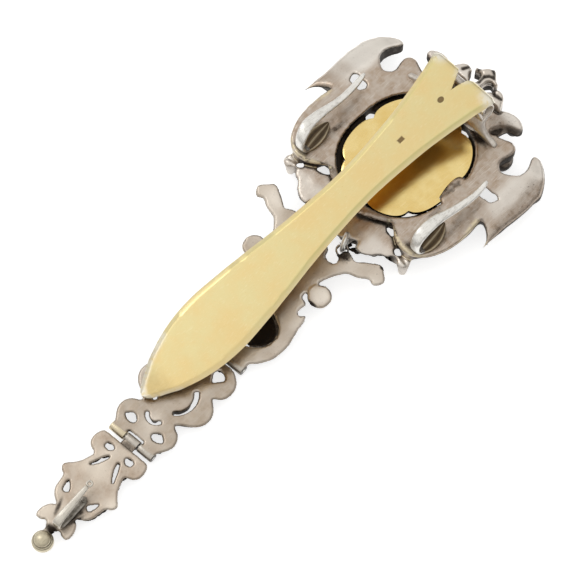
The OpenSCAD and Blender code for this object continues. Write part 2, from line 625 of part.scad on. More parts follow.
module left_ring() {
    color(bright_silver) jump_ring(-1);
}
module right_ring() {
    color(bright_silver) jump_ring(1);
}

module centred() {
    translate([0, -centre_y, 0]) children();
}
centred() crest();
centred() medallion();
centred() belt_hook();
centred() left_ring();
centred() right_ring();
centred() upper_link();
centred() upper_hinge_pin();
centred() middle_link();
centred() lower_hinge_pin();
centred() tail();
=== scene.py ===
# Chatelaine watch pin, lying face down with its belt hook on top.
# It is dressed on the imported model, in metres, with one section for each piece in the order of assembly.
import math

import bpy
import numpy as np
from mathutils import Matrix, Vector, kdtree
from mathutils.bvhtree import BVHTree


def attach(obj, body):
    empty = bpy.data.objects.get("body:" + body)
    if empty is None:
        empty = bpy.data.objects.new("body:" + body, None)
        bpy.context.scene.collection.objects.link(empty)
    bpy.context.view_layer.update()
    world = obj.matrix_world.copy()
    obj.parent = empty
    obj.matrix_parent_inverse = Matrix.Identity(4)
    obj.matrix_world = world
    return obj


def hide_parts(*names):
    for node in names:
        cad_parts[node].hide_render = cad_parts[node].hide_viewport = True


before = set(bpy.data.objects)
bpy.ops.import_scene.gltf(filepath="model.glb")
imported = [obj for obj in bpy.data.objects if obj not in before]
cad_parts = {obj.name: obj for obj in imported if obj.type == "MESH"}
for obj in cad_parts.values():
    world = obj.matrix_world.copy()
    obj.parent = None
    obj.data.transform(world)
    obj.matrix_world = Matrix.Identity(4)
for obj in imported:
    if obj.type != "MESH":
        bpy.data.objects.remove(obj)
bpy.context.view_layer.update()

# The table top, the camera and the studio light.
# The table is a plain white board. A pale tent gives most of the light, with one soft lamp on the left.
MM = 0.001
bpy.ops.object.select_all(action="DESELECT")


class Finish:
    """A shader socket that Python's operators add Math nodes to"""

    def __init__(self, tree, socket=None):
        self.tree = tree
        self.socket = socket

    def node(self, kind, settings, values, out=0):
        made = self.tree.nodes.new(kind)
        for key, value in settings.items():
            setattr(made, key, value)
        for key, value in values.items():
            if isinstance(value, Finish):
                self.tree.links.new(value.socket, made.inputs[key])
            else:
                made.inputs[key].default_value = value
        return Finish(self.tree, made.outputs[out])

    def maths(self, operation, *values):
        return self.node("ShaderNodeMath", {"operation": operation}, dict(enumerate(values)))

    def __add__(self, other):
        return self.maths("ADD", self, other)

    def __radd__(self, other):
        return self.maths("ADD", other, self)

    def __sub__(self, other):
        return self.maths("SUBTRACT", self, other)

    def __rsub__(self, other):
        return self.maths("SUBTRACT", other, self)

    def __mul__(self, other):
        return self.maths("MULTIPLY", self, other)

    def __rmul__(self, other):
        return self.maths("MULTIPLY", other, self)

    def __truediv__(self, other):
        return self.maths("DIVIDE", self, other)

    def __rtruediv__(self, other):
        return self.maths("DIVIDE", other, self)

    def size(self):
        return self.maths("ABSOLUTE", self)

    def most(self, other):
        return self.maths("MAXIMUM", self, other)

    def between(self, low, high):
        """0 at low, 1 at high, smooth between"""
        return self.node("ShaderNodeMapRange", {"interpolation_type": "SMOOTHSTEP"},
                         {0: self, 1: low, 2: high, 3: 0.0, 4: 1.0})

    def mix(self, first, second):
        """A colour between first and second, by this value"""
        first, second = [colour if isinstance(colour, Finish) else (*colour, 1) for colour in (first, second)]
        return self.node("ShaderNodeMix", {"data_type": "RGBA"}, {0: self, 6: first, 7: second}, out=2)


def new_finish(name):
    """A material, its shader and the place on the piece that its patterns read"""
    material = bpy.data.materials.new(name)
    material.use_nodes = True
    shader = material.node_tree.nodes["Principled BSDF"]
    place = Finish(material.node_tree).node("ShaderNodeTexCoord", {}, {}, out=3)
    return material, shader, place


def set_finish(shader, values):
    for key, value in values.items():
        if isinstance(value, Finish):
            value.tree.links.new(value.socket, shader.inputs[key])
        elif isinstance(value, tuple):
            shader.inputs[key].default_value = (*value, 1)
        else:
            shader.inputs[key].default_value = value


TABLE_WIDE = 6
TABLE_GAP = 0.03 * MM
bpy.ops.mesh.primitive_plane_add(size=TABLE_WIDE, location=(0, 0, -TABLE_GAP))
table_top = bpy.context.object
table_top.name = "table_top"
table_white, shader, _ = new_finish("white board")
set_finish(shader, {"Base Color": (0.6, 0.6, 0.6), "Roughness": 0.9, "Specular IOR Level": 0.1,
                    "Emission Color": (1.0, 1.0, 1.0), "Emission Strength": 0.72})
table_top.data.materials.append(table_white)

TARGET = Vector((2.31, 5.30, 0)) * MM
AZIMUTH = math.radians(45.25)
ELEVATION = math.radians(66)
CAMERA_REACH = 450 * MM
LENS_LENGTH = 144.23
picture_right = Vector((math.cos(AZIMUTH), math.sin(AZIMUTH), 0))
picture_away = Vector((-math.sin(AZIMUTH), math.cos(AZIMUTH), 0))
toward_camera = -picture_away * math.cos(ELEVATION) + Vector((0, 0, math.sin(ELEVATION)))
bpy.ops.object.camera_add(location=TARGET + CAMERA_REACH * toward_camera)
camera = bpy.context.object
camera.rotation_euler = (-toward_camera).to_track_quat("-Z", "Y").to_euler()
camera.data.lens = LENS_LENGTH
camera.data.sensor_width = 36
camera.data.clip_start = 0.01
bpy.context.scene.camera = camera
bpy.context.scene.view_settings.view_transform = "Standard"

lamp_place = TARGET - 0.42 * picture_right + 0.30 * picture_away + Vector((0, 0, 0.62))
bpy.ops.object.light_add(type="AREA", location=lamp_place)
lamp = bpy.context.object
lamp.name = "soft_lamp"
lamp.data.shape = "DISK"
lamp.data.size = 0.35
lamp.data.energy = 0.7
lamp.rotation_euler = (TARGET - lamp_place).to_track_quat("-Z", "Y").to_euler()

# The tent is bright overhead and all round, and darker near the table
tent = bpy.data.worlds.new("pale tent")
tent.use_nodes = True
way = Finish(tent.node_tree).node("ShaderNodeTexCoord", {}, {}, out=0)
bright_side = (-0.16 * picture_right + 0.14 * picture_away + Vector((0, 0, 0.97))).normalized()
facing = way.node("ShaderNodeVectorMath", {"operation": "DOT_PRODUCT"},
                  {0: way, 1: tuple(bright_side)}, out=1)
glow = facing.between(-0.1, 0.72).mix((0.13, 0.12, 0.11), (1.0, 0.99, 0.97))
tent.node_tree.links.new(glow.socket, tent.node_tree.nodes["Background"].inputs["Color"])
bpy.context.scene.world = tent

# The crest: one silver casting with a pierced outline, a deeper leaf below, a finial above and two bosses.
# Cast in a mould and cleaned up by hand, so that every edge is soft. Its hooks and bracket are soldered on.
# Measures are in millimetres from the middle of the crest's opening, which lies this far above the origin
CENTRE_Y = 39.582


def only(*pieces):
    bpy.ops.object.select_all(action="DESELECT")
    for piece in pieces:
        piece.select_set(True)
    bpy.context.view_layer.objects.active = pieces[0]


def take(node, name):
    """A copy of a CAD node, its loose triangles merged, as a new piece"""
    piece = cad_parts[node].copy()
    piece.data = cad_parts[node].data.copy()
    piece.name = name
    piece.data.name = name
    for key in list(piece.keys()):
        del piece[key]
    piece.parent = None
    piece.hide_viewport = piece.hide_render = False
    bpy.context.scene.collection.objects.link(piece)
    piece.hide_set(False)
    piece.data.materials.clear()
    only(piece)
    bpy.ops.object.mode_set(mode="EDIT")
    bpy.ops.mesh.select_all(action="SELECT")
    bpy.ops.mesh.remove_doubles(threshold=0.00001)
    bpy.ops.object.mode_set(mode="OBJECT")
    return piece


def cut(piece, point, direction):
    """Cuts away what lies on the far side of a plane, and closes the cut. The point is in millimetres"""
    only(piece)
    bpy.ops.object.mode_set(mode="EDIT")
    bpy.ops.mesh.select_all(action="SELECT")
    bpy.ops.mesh.bisect(plane_co=Vector(point) * MM, plane_no=direction, use_fill=True, clear_outer=True)
    bpy.ops.object.mode_set(mode="OBJECT")


def join(first, *others):
    only(first, *others)
    bpy.ops.object.join()
    return first


def modify(piece, kind, **settings):
    only(piece)
    modifier = piece.modifiers.new(kind.lower(), kind)
    for key, value in settings.items():
        setattr(modifier, key, value)
    bpy.ops.object.modifier_apply(modifier=modifier.name)


def cast(piece, voxel_mm, rounds):
    """Melts a piece's shapes into one skin and softens its edges"""
    modify(piece, "REMESH", mode="VOXEL", voxel_size=voxel_mm * MM, adaptivity=0.0)
    modify(piece, "SMOOTH", factor=0.5, iterations=rounds)
    only(piece)
    bpy.ops.object.shade_smooth()


def points_of(piece):
    """The piece's points in millimetres, in the crest's own frame: its opening is at the origin"""
    places = np.empty(len(piece.data.vertices) * 3)
    piece.data.vertices.foreach_get("co", places)
    return places.reshape(-1, 3) / MM - (0, CENTRE_Y, 0)


def normals_of(piece):
    normals = np.empty(len(piece.data.vertices) * 3)
    piece.data.vertex_normals.foreach_get("vector", normals)
    return normals.reshape(-1, 3)


def edges_of(piece):
    pairs = np.empty(len(piece.data.edges) * 2, np.int64)
    piece.data.edges.foreach_get("vertices", pairs)
    return pairs.reshape(-1, 2)


def move_points(piece, places):
    piece.data.vertices.foreach_set("co", ((places + (0, CENTRE_Y, 0)) * MM).ravel())
    piece.data.update()


def paint(piece, name, values):
    """Keeps a value from 0 to 1 for each point, which a finish can read"""
    layer = piece.data.attributes.new(name, "FLOAT", "POINT")
    layer.data.foreach_set("value", np.clip(values, 0, 1).astype(np.float32))


def most_of(*values):
    """The largest of several values, point by point"""
    return np.maximum.reduce(values)


def ramp(low, high, values):
    """0 at low, 1 at high, smooth between"""
    t = np.clip((values - low) / (high - low), 0, 1)
    return t * t * (3 - 2 * t)


def spot(places, x, y, wide, high, turn=0.0):
    """A soft round patch seen from above: 1 in the middle, 0 outside"""
    c, s = math.cos(math.radians(turn)), math.sin(math.radians(turn))
    u = ((places[:, 0] - x) * c + (places[:, 1] - y) * s) / wide
    v = ((places[:, 1] - y) * c - (places[:, 0] - x) * s) / high
    return ramp(1.0, 0.2, np.hypot(u, v))


def line(places, points, width):
    """A soft line seen from above through a few points"""
    best = np.full(len(places), 1e9)
    for (x0, y0), (x1, y1) in zip(points, points[1:]):
        dx, dy = x1 - x0, y1 - y0
        t = np.clip(((places[:, 0] - x0) * dx + (places[:, 1] - y0) * dy) / (dx * dx + dy * dy), 0, 1)
        best = np.minimum(best, np.hypot(places[:, 0] - x0 - t * dx, places[:, 1] - y0 - t * dy))
    return ramp(width, width * 0.35, best)


def all_lines(places, runs, width):
    """The strongest of several soft lines, point by point"""
    return most_of(*[line(places, run, width) for run in runs])


def neighbour_sums(pairs, values):
    """The sum of the values at each point's neighbours, for points that are paired by edges"""
    ahead = np.bincount(pairs[:, 0], values[pairs[:, 1]], len(values))
    return ahead + np.bincount(pairs[:, 1], values[pairs[:, 0]], len(values))


def level(piece, upper, rounds):
    """Irons out creases on the upper side without touching its outline"""
    places = points_of(piece)
    pairs = edges_of(piece)
    pairs = pairs[upper[pairs[:, 0]] & upper[pairs[:, 1]]]
    count = np.bincount(pairs.ravel(), minlength=len(places))
    has = count > 0
    z = places[:, 2].copy()
    for _ in range(rounds):
        z[has] += 0.5 * (neighbour_sums(pairs, z)[has] / count[has] - z[has])
    places[:, 2] = z
    return places


def from_rim(piece, upper, places):
    """For every point, the nearest point of the upper side's rim, and how far it is"""
    pairs = edges_of(piece)
    mixed = pairs[upper[pairs[:, 0]] != upper[pairs[:, 1]]]
    rim = np.unique(np.where(upper[mixed[:, 0]], mixed[:, 0], mixed[:, 1]))
    tree = kdtree.KDTree(len(rim))
    for k, i in enumerate(rim):
        tree.insert(places[i], k)
    tree.balance()
    nearest = np.empty(len(places), np.int64)
    distance = np.empty(len(places))
    for i, p in enumerate(places):
        _, k, distance[i] = tree.find(p)
        nearest[i] = rim[k]
    return nearest, distance


def roll_rims(piece, upper, raised, rim_radius, depth_mm):
    """Gives the upper side its new heights, rounds its rims, and lets the walls below follow"""
    before = points_of(piece)
    nearest, distance = from_rim(piece, upper, before)
    radius = rim_radius(before)
    inside = np.clip(radius - distance, 0, None)
    drop = radius - np.sqrt(np.maximum(radius ** 2 - inside ** 2, 0))
    after = raised.copy()
    after[upper, 2] -= drop[upper]
    change = after[:, 2] - before[:, 2]
    below = ~upper
    share = np.clip(1 - (before[nearest, 2] - before[:, 2]) / depth_mm, 0, 1)
    share *= ramp(depth_mm + 0.6, depth_mm, distance)
    after[below, 2] = before[below, 2] + (change[nearest] * share)[below]
    move_points(piece, after)


def lean_walls(piece, top_z, slope, most_mm):
    """Walls lean into the metal below the back, as they do on a casting with a domed front.
    A wall moves by its slope, but by no more than most_mm or about a third of the metal behind it"""
    thickest_mm = 12.0
    share_of_metal = 0.32
    foot_reach_mm = 3.2
    places = points_of(piece)
    normals = normals_of(piece)
    top_z = top_z + 0 * places[:, 2]
    wall = (np.abs(normals[:, 2]) < 0.75) & (places[:, 2] < top_z)
    outward = normals * (1, 1, 0)
    outward /= np.maximum(np.linalg.norm(outward, axis=1), 1e-6)[:, None]
    mesh = piece.data
    tree = BVHTree.FromPolygons([v.co for v in mesh.vertices], [p.vertices for p in mesh.polygons])
    push = np.zeros(len(places))
    for i in np.flatnonzero(wall):
        inward = Vector(-outward[i])
        hit = tree.ray_cast(mesh.vertices[i].co + inward * 0.05 * MM, inward, thickest_mm * MM)
        thick = hit[3] / MM if hit[0] else thickest_mm
        push[i] = min(slope[i] * (top_z[i] - places[i, 2]), most_mm, share_of_metal * thick)
    # Neighbours share the push, so that no point of the wall stands out
    pairs = edges_of(piece)
    pairs = pairs[wall[pairs[:, 0]] & wall[pairs[:, 1]]]
    count = np.maximum(np.bincount(pairs.ravel(), minlength=len(push)), 1)
    for _ in range(8):
        push = np.where(wall, 0.5 * push + 0.5 * neighbour_sums(pairs, push) / count, 0)
    shift = -outward * push[:, None]
    walls = np.flatnonzero(wall)
    finder = kdtree.KDTree(len(walls))
    for k, i in enumerate(walls):
        finder.insert(places[i], k)
    finder.balance()
    for i in np.flatnonzero((normals[:, 2] < -0.6) & (places[:, 2] < top_z)):
        _, k, distance = finder.find(places[i])
        if distance < foot_reach_mm:
            shift[i] = shift[walls[k]] * ramp(foot_reach_mm, 0.4, distance)
    move_points(piece, places + shift)


def hollows(piece, reach_mm):
    """How enclosed each point is, from 0 in the open to 1 in a deep hollow, by rays cast outwards"""
    off_surface = 0.03 * MM
    mesh = piece.data
    tree = BVHTree.FromPolygons([v.co for v in mesh.vertices], [p.vertices for p in mesh.polygons])
    golden_turn = 2.399963
    rays = 10
    ways = []
    for k in range(rays):
        up = 0.25 + 0.7 * (k + 0.5) / rays
        flat = math.sqrt(1 - up * up)
        ways.append((flat * math.cos(k * golden_turn), flat * math.sin(k * golden_turn), up))
    values = np.zeros(len(mesh.vertices))
    for vertex in mesh.vertices:
        normal = vertex.normal
        side = normal.orthogonal().normalized()
        third = normal.cross(side)
        start = vertex.co + normal * off_surface
        hits = sum(1 for x, y, z in ways
                   if tree.ray_cast(start, side * x + third * y + normal * z, reach_mm * MM)[0])
        values[vertex.index] = hits / rays
    return values


def ripples(places, size_mm):
    """Slow, uneven waves of the hand-finished surface, from -1 to 1"""
    x, y = places[:, 0] / size_mm, places[:, 1] / size_mm
    return (np.sin(1.9 * x + 0.7 * y + 1.3) * np.sin(1.1 * y - 0.8 * x + 0.4)
            + 0.6 * np.sin(3.3 * y + 1.2 * x) * np.sin(2.7 * x - 1.9 * y + 2.0)) / 1.6


def both(places):
    """The same points folded onto the right half, for what is alike on both sides"""
    return np.column_stack([np.abs(places[:, 0]), places[:, 1], places[:, 2]])


OPENING = (0.35, 0.25)
KIDNEY = (17.7, 5.3)
KIDNEY_MIDDLE = (17.1, 4.5)
KIDNEY_RADIUS = 4.2
BOSS = (15.5, -15.9)
BACK_Z = 6.5
SAWN_Z = 7.0
FINIAL_Y = 19.0
CREST_SKIN = 0.24
CREST_LEAN = 2.3
OPENING_WALL = 15.5
BLACK_WALL = 16.0
LEDGE = 14.4
# Soft patches: x, y, half width, half length and turn
BOSS_WALL = (*BOSS, 3.4, 3.4)
LOBE_END = (11.5, -14.0, 5.0, 2.8)
LEFT_GAP = (-12.1, 2.5, 2.3, 2.3)
TOP_GAP = (4.8, 13.4, 2.4, 2.4)
SIDE_CLAW = (11.8, 1.0, 3.0, 6.5)
SPIKE = (23.8, -2.0, 4.6, 4.6)
KIDNEY_RIM = (17.4, 4.4, 5.2, 5.2)
LEAF_END = (3.2, -17.6, 4.0, 3.8)
LOBE_DISH = (15.7, -8.5, 3.6, 7.0)
SPIKE_NOTCH = (22.0, -1.0, 2.4, 2.0, -35)
THIN_Z = 5.6
# The back is taken up to the feet of the hooks and the bracket, and the higher finial whole
crest = take("crest", "crest_casting")
crest_top = take("crest", "crest_finial")
cut(crest, (0, 0, SAWN_Z), (0, 0, 1))
cut(crest_top, (0, CENTRE_Y + FINIAL_Y, 0), (0, -1, 0))
join(crest, crest_top)
cast(crest, CREST_SKIN, 2)

# The walls lean in, most at the lobes, the leaf and the kidney holes, and least at the curls
start = points_of(crest)
half = both(start)
in_kidney = np.hypot(half[:, 0] - KIDNEY[0], half[:, 1] - KIDNEY[1]) < KIDNEY_RADIUS
lean = (0.22 + 0.26 * ramp(-3.0, -7.0, half[:, 1])) * ramp(13.5, 11.5, half[:, 1])
lean = np.where(in_kidney, 0.9, lean)
steep = most_of(spot(half, *BOSS_WALL), spot(half, *LOBE_END))


def round_opening(piece, facing):
    """Where each point lies from the opening's middle, how far, and whether it faces the middle"""
    from_opening = points_of(piece)[:, :2] - OPENING
    reach = np.hypot(from_opening[:, 0], from_opening[:, 1])
    facing_in = (normals_of(piece)[:, :2] * from_opening).sum(1) < -facing * reach
    return from_opening, reach, facing_in


from_opening, reach, facing_in = round_opening(crest, 0.4)
opening_wall = facing_in & (reach < OPENING_WALL)
lean_walls(crest, BACK_Z, np.where(opening_wall, 0, lean * (1 - steep)), CREST_LEAN)
# Round the opening they close in below the medallion instead, but for two gaps and the side claw
start = points_of(crest)
gaps = most_of(spot(start, *LEFT_GAP), spot(start, *TOP_GAP), spot(start, *SIDE_CLAW))
close_in = (1.15 + 0.6 * ramp(-2.0, -9.0, start[:, 0])) * ramp(6.0, 5.1, start[:, 2]) * (1 - gaps)
close_in = np.where(opening_wall, close_in, 0)
start[:, :2] -= from_opening / np.maximum(reach, 1)[:, None] * close_in[:, None]
# The spikes at the sides, and the metal round the kidney holes, are thinner than the rest
half = both(start)
thin = most_of(spot(half, *SPIKE), spot(half, *KIDNEY_RIM))
start[:, 2] += 0.75 * thin * np.clip(THIN_Z - start[:, 2], 0, None)
# The leaf reaches down between the eyes
start[:, 1] -= 2.3 * spot(half, *LEAF_END)
# The kidney holes widen below the back, so that the light falls straight through
from_kidney = half[:, :2] - KIDNEY_MIDDLE
from_kidney[:, 0] -= np.clip(from_kidney[:, 0], -1.5, 1.5)
kidney_reach = np.maximum(np.hypot(from_kidney[:, 0], from_kidney[:, 1]), 0.01)
wider = 0.7 * np.clip(3.4 - kidney_reach, 0, 1.6) * ramp(6.3, 5.4, start[:, 2]) / kidney_reach
widen = wider[:, None] * from_kidney
start[:, :2] += widen * np.column_stack([np.sign(start[:, 0]), np.ones(len(start))])
move_points(crest, start)

upper = normals_of(crest)[:, 2] > 0.6
raised = level(crest, upper, 90)
start = points_of(crest)
half = both(start)
is_leaf = upper & (start[:, 2] < 5.2) & (start[:, 1] < -12) & (half[:, 0] < 14.2)
# The leaf rises towards the crest's ring, the lobes dish round the hooks' feet, and the spikes turn up
raised[is_leaf, 2] += 0.10 * (start[is_leaf, 1] + 20.5)
dish = spot(half, *LOBE_DISH)
notch = spot(half, *SPIKE_NOTCH)
FINIAL_GROOVES = [[(-2.1, 23.0), (-2.2, 24.2), (-1.8, 25.0)],
                  [(-0.2, 21.7), (-0.3, 23.2), (0.4, 24.2), (1.5, 24.5)],
                  [(-0.7, 26.1), (0.7, 25.3), (2.1, 24.5)],
                  [(2.6, 22.7), (4.0, 21.8), (5.6, 22.1)],
                  [(-4.6, 21.7), (-4.0, 22.9), (-3.4, 23.8)]]
LEAF_VEINS = [[(11.7, -1.6), (12.0, 0.8), (11.9, 3.4)],
              [(11.2, 0.2), (12.5, 1.2)],
              [(11.2, 2.0), (12.5, 3.0)],
              [(-1.0, -12.6), (1.6, -13.4), (4.4, -13.2)],
              [(-3.6, -12.4), (-1.6, -13.6)]]
BOSS_GROOVE = [(13.9, -15.3), (15.6, -15.7), (17.2, -16.2)]
CURL_SHADE = [(9.0, 16.4), (9.7, 17.9), (11.1, 19.0), (12.6, 19.5)]
grooves = all_lines(start, FINIAL_GROOVES, 0.55)
veins = all_lines(start, LEAF_VEINS, 0.45)
boss = spot(half, *BOSS, 2.2, 2.2)
rise = 0.05 * ripples(start, 2.3) + 0.03 * ripples(start, 0.9) - 0.35 * dish + 0.25 * notch - 0.4 * grooves
rise += 0.2 * boss - 0.12 * veins - 0.35 * line(half, BOSS_GROOVE, 0.5)
rise -= 1.1 * line(start, CURL_SHADE, 1.1)
raised[upper, 2] += rise[upper]


def crest_rims(places):
    """The radius that the crest's rims are worn to"""
    places = both(places)
    wing = ramp(19.5, 22.0, places[:, 0]) * ramp(-4.0, 0.0, places[:, 1])
    curl = ramp(10.0, 12.0, places[:, 1]) * (places[:, 0] < 17)
    return 0.38 + 0.3 * wing + 0.25 * curl


roll_rims(crest, upper, raised, crest_rims, 2.2)
modify(crest, "SMOOTH", factor=0.5, iterations=4)


def ease(piece, chosen, rounds):
    """Smooths only the chosen points"""
    places = points_of(piece)
    pairs = edges_of(piece)
    count = np.maximum(np.bincount(pairs.ravel(), minlength=len(places)), 1)
    for _ in range(rounds):
        for axis in range(3):
            v = places[:, axis]
            places[:, axis] = v + 0.5 * chosen * (neighbour_sums(pairs, v) / count - v)
    move_points(piece, places)


def set_down(piece):
    """Nothing reaches below the table"""
    places = points_of(piece)
    places[:, 2] = np.maximum(places[:, 2], 0)
    move_points(piece, places)


# The wings' thin edges are rubbed smooth
half = both(points_of(crest))
on_wing = ramp(20.0, 21.5, half[:, 0]) * ramp(-6.0, -4.0, half[:, 1]) * ramp(17.0, 15.0, half[:, 1])
ease(crest, on_wing, 14)
set_down(crest)


def tarnish_and_shade(piece, reach_mm, rim_z, wall_dark):
    """Tarnish and painted shade gather down the walls and in the hollows, not on worn backs"""
    places = points_of(piece)
    wall = ramp(0.75, 0.1, normals_of(piece)[:, 2]) * ramp(rim_z + 0.1, rim_z - 0.6, places[:, 2])
    return np.maximum(wall_dark * wall, 0.9 * hollows(piece, reach_mm))


places = points_of(crest)
half = both(places)
on_back = ramp(0.4, 0.8, normals_of(crest)[:, 2])
LOBE_RIM = [(20.3, -0.3), (20.4, -1.9), (21.1, -4.3), (21.3, -6.8), (20.7, -9.8),
            (19.4, -12.6), (17.3, -14.3), (14.9, -14.7), (12.4, -14.4), (10.4, -13.5)]
SEAM = [(8.0, -12.3), (10.2, -13.2), (12.4, -14.6), (14.2, -15.0)]
WING_EDGE = [(25.0, -2.4), (24.4, 3.2), (23.9, 9.1), (22.6, 14.0)]
# Stains and painted shade alike on both sides: strength, then the patch's place, its half width, half length
# and turn. Beside the arm and at the hook's bend they are painted shadow of the arm; at the foot, tarnish and
# painted shadow
SIDE_STAINS_AND_SHADE = {"hook foot": (0.6, 15.6, -10.0, 2.6, 6.0, 0),
               "hook bend": (0.7, 15.4, -13.6, 3.2, 1.7, 0),
               "arm's shadow outside": (0.30, 17.8, -5.0, 1.5, 8.0, 6),
               "arm's shadow inside": (0.4, 13.3, -5.0, 1.2, 5.0, 8),
               "lobe": (0.08, 16.2, -7.0, 5.5, 9.0, 0),
               "curls": (0.35, 9.0, 18.5, 6.0, 4.0, 0)}
# Stains and painted shade on one side only, in the same columns. Below the fold, below its end and behind the
# slit they are painted shadow of the tongue
OWN_STAINS_AND_SHADE = {"side leaf": (0.30, 11.7, 1.0, 1.6, 5.0, 0),
              "below the fold": (0.6, 3.0, 13.9, 12.0, 3.4, 0),
              "below the fold's end": (0.85, 7.2, 13.2, 5.5, 2.2, 0),
              "behind the slit": (0.45, -2.8, 18.4, 3.2, 2.6, 0)}


def stain_and_shade_patches(places, stains_and_shade):
    """The strongest of the patches of stain and painted shade at each point"""
    return most_of(*[strength * spot(places, *patch) for strength, *patch in stains_and_shade.values()])


# Painted shade: the top of the leaf, under the tongue, is darker, and so are the wings' outer edges and the
# band under the curl
leaf_top = 0.45 * ramp(-15.5, -12.5, places[:, 1]) * (half[:, 0] < 9.5) * ramp(-11.4, -12.2, places[:, 1])
edge_shade = most_of(0.26 * line(places, WING_EDGE, 2.4), 0.85 * line(places, CURL_SHADE, 1.25))
line_shade = most_of(0.8 * grooves, 0.5 * veins, 0.7 * line(half, SEAM, 0.7))
stains_and_shade = most_of(stain_and_shade_patches(half, SIDE_STAINS_AND_SHADE), stain_and_shade_patches(places, OWN_STAINS_AND_SHADE), leaf_top, edge_shade, line_shade)
# Painted shade: the walls facing into the opening and the ledge below them are painted black, as the deep gap
# round the medallion
_, reach, facing_in = round_opening(crest, 0.3)
black_wall = facing_in * (reach < BLACK_WALL) * ramp(6.6, 6.1, places[:, 2])
ledge = (reach < LEDGE) * ramp(6.3, 5.9, places[:, 2]) * (1 - spot(places, *SIDE_CLAW))
boss = spot(half, *BOSS, 2.9, 2.9)
shade = most_of(tarnish_and_shade(crest, 1.5, BACK_Z + 0.3, 0.86), on_back * stains_and_shade, black_wall, ledge)
paint(crest, "tarnish_and_shade", shade * (1 - 0.8 * boss))
rim_gold = most_of(0.9 * line(half, LOBE_RIM, 0.8), 0.8 * line(half, SEAM, 0.35))
spike_gold = 0.8 * spot(half, 24.5, -2.6, 1.6, 1.6)
paint(crest, "solder", ramp(0.1, 0.5, normals_of(crest)[:, 2]) * most_of(rim_gold, spike_gold))
# Painted light: the left wing is paler than the right, the right wing darkens towards its outer edge, and the
# finial is painted paler as if lit. The boss is paler where worn, and the leaf paler towards its tip
left_wing = 0.55 + 0.45 * ramp(5.0, 10.0, places[:, 1])
right_wing = 0.65 - 0.5 * ramp(21.5, 23.5, places[:, 0])
wing = ramp(16.5, 20.0, half[:, 0]) * ramp(0.0, 5.0, half[:, 1])
wing *= np.where(places[:, 0] > 0, right_wing, left_wing)
finial = 0.6 * ramp(18.5, 20.5, places[:, 1])
leaf_tip = 0.5 * ramp(-14.5, -17.0, places[:, 1])
paint(crest, "rubbed_and_lit", most_of(wing, leaf_tip, 0.7 * boss, finial))

SILVER_GREY = (0.50, 0.43, 0.365)
SILVER_PALE = (0.76, 0.715, 0.655)
SILVER_WARM = (0.42, 0.33, 0.255)
SILVER_BLACK = (0.030, 0.023, 0.018)
SOLDER = (0.66, 0.57, 0.40)


def clouds(place, size_mm, detail=3.0):
    """Soft noise from 0 to 1, whose patches are about size_mm across"""
    return place.node("ShaderNodeTexNoise", {"noise_dimensions": "3D"},
                      {"Vector": place, "Scale": 1 / (size_mm * MM), "Detail": detail, "Roughness": 0.6})


def scratches(place, turn):
    """Fine lines left by the file and by wear, most of them in one direction"""
    stretched = place.node("ShaderNodeMapping", {}, {"Vector": place, "Rotation": (0, 0, math.radians(turn)),
                                                     "Scale": (1.0, 0.06, 1.0)})
    return clouds(stretched, 0.16, 2)


def painted(place, name):
    return place.node("ShaderNodeAttribute", {"attribute_name": name}, {}, out=2)


def bumps(height, distance_mm, strength):
    return height.node("ShaderNodeBump", {},
                       {"Strength": strength, "Distance": distance_mm * MM, "Height": height})


def silver_casting(name, grey, pale, warm, rough, filed):
    """Worn cast silver: grey and mottled, paler where worn and where light is painted, black with tarnish and
    painted shade in its hollows, with traces of solder
    """
    material, shader, place = new_finish(name)
    mottle = clouds(place, 1.5, 5)
    broad = clouds(place, 6.0, 3)
    grain = clouds(place, 0.22, 3)
    lines = scratches(place, 35)
    specks = clouds(place, 0.4, 3).between(0.62, 0.70)
    dark = painted(place, "tarnish_and_shade") * (0.55 + mottle * 0.9) + (mottle - 0.56).most(0.0) * 1.2 + specks * 0.3
    dark = dark + (grain - 0.5) * 0.3
    colour = mottle.between(0.35, 0.66).mix(grey, warm)
    colour = (painted(place, "rubbed_and_lit") + (broad - 0.5) * 0.9).between(0.1, 0.9).mix(colour, pale)
    colour = (lines.between(0.53, 0.7) * filed).mix(colour, pale)
    colour = dark.between(0.03, 0.92).mix(colour, SILVER_BLACK)
    colour = (painted(place, "solder") * clouds(place, 0.9, 3).between(0.36, 0.52)).mix(colour, SOLDER)
    set_finish(shader, {"Base Color": colour, "Metallic": 1.0,
                        "Roughness": rough + grain * 0.14 + painted(place, "tarnish_and_shade") * 0.3,
                        "Normal": bumps(mottle * 0.6 + grain * 0.4 + lines * (filed * 0.6), 0.07, 0.9)})
    return material


cast_silver = silver_casting("worn cast silver", SILVER_GREY, SILVER_PALE, SILVER_WARM, 0.24, 0.35)
crest.data.materials.append(cast_silver)
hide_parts("crest")
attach(crest, "crest_body")

# The medallion: a lobed gold plate, domed at the front, held in the opening by claws.
# Cut from sheet with its edge filed round, and left plain and satin at the back.
medallion = take("medallion", "gold_medallion")
# Its right side is held by the claws, and its left side stands a little away from the opening
HELD_X = 13.0
NARROWED = 0.968
plate = points_of(medallion)
plate[:, 0] = HELD_X + (plate[:, 0] - HELD_X) * NARROWED
move_points(medallion, plate)


def soften_edges(piece, width_mm, segments, least_turn=40):
    """Rounds every edge that turns by at least so many degrees"""
    modify(piece, "BEVEL", width=width_mm * MM, segments=segments, limit_method="ANGLE",
           angle_limit=math.radians(least_turn))


def shade_by_angle(piece, degrees):
    only(piece)
    bpy.ops.object.shade_smooth_by_angle(angle=math.radians(degrees))


soften_edges(medallion, 0.15, 2)
shade_by_angle(medallion, 40)


BRUSHED_GOLD = (0.93, 0.86, 0.62)
GREEN_GOLD = (0.56, 0.53, 0.24)
BARE_SILVER = (0.78, 0.75, 0.66)
WARM_GOLD = (0.80, 0.55, 0.20)
GRIME_AND_SHADE = (0.05, 0.028, 0.01)
STAMP_BROWN = (0.15, 0.095, 0.045)


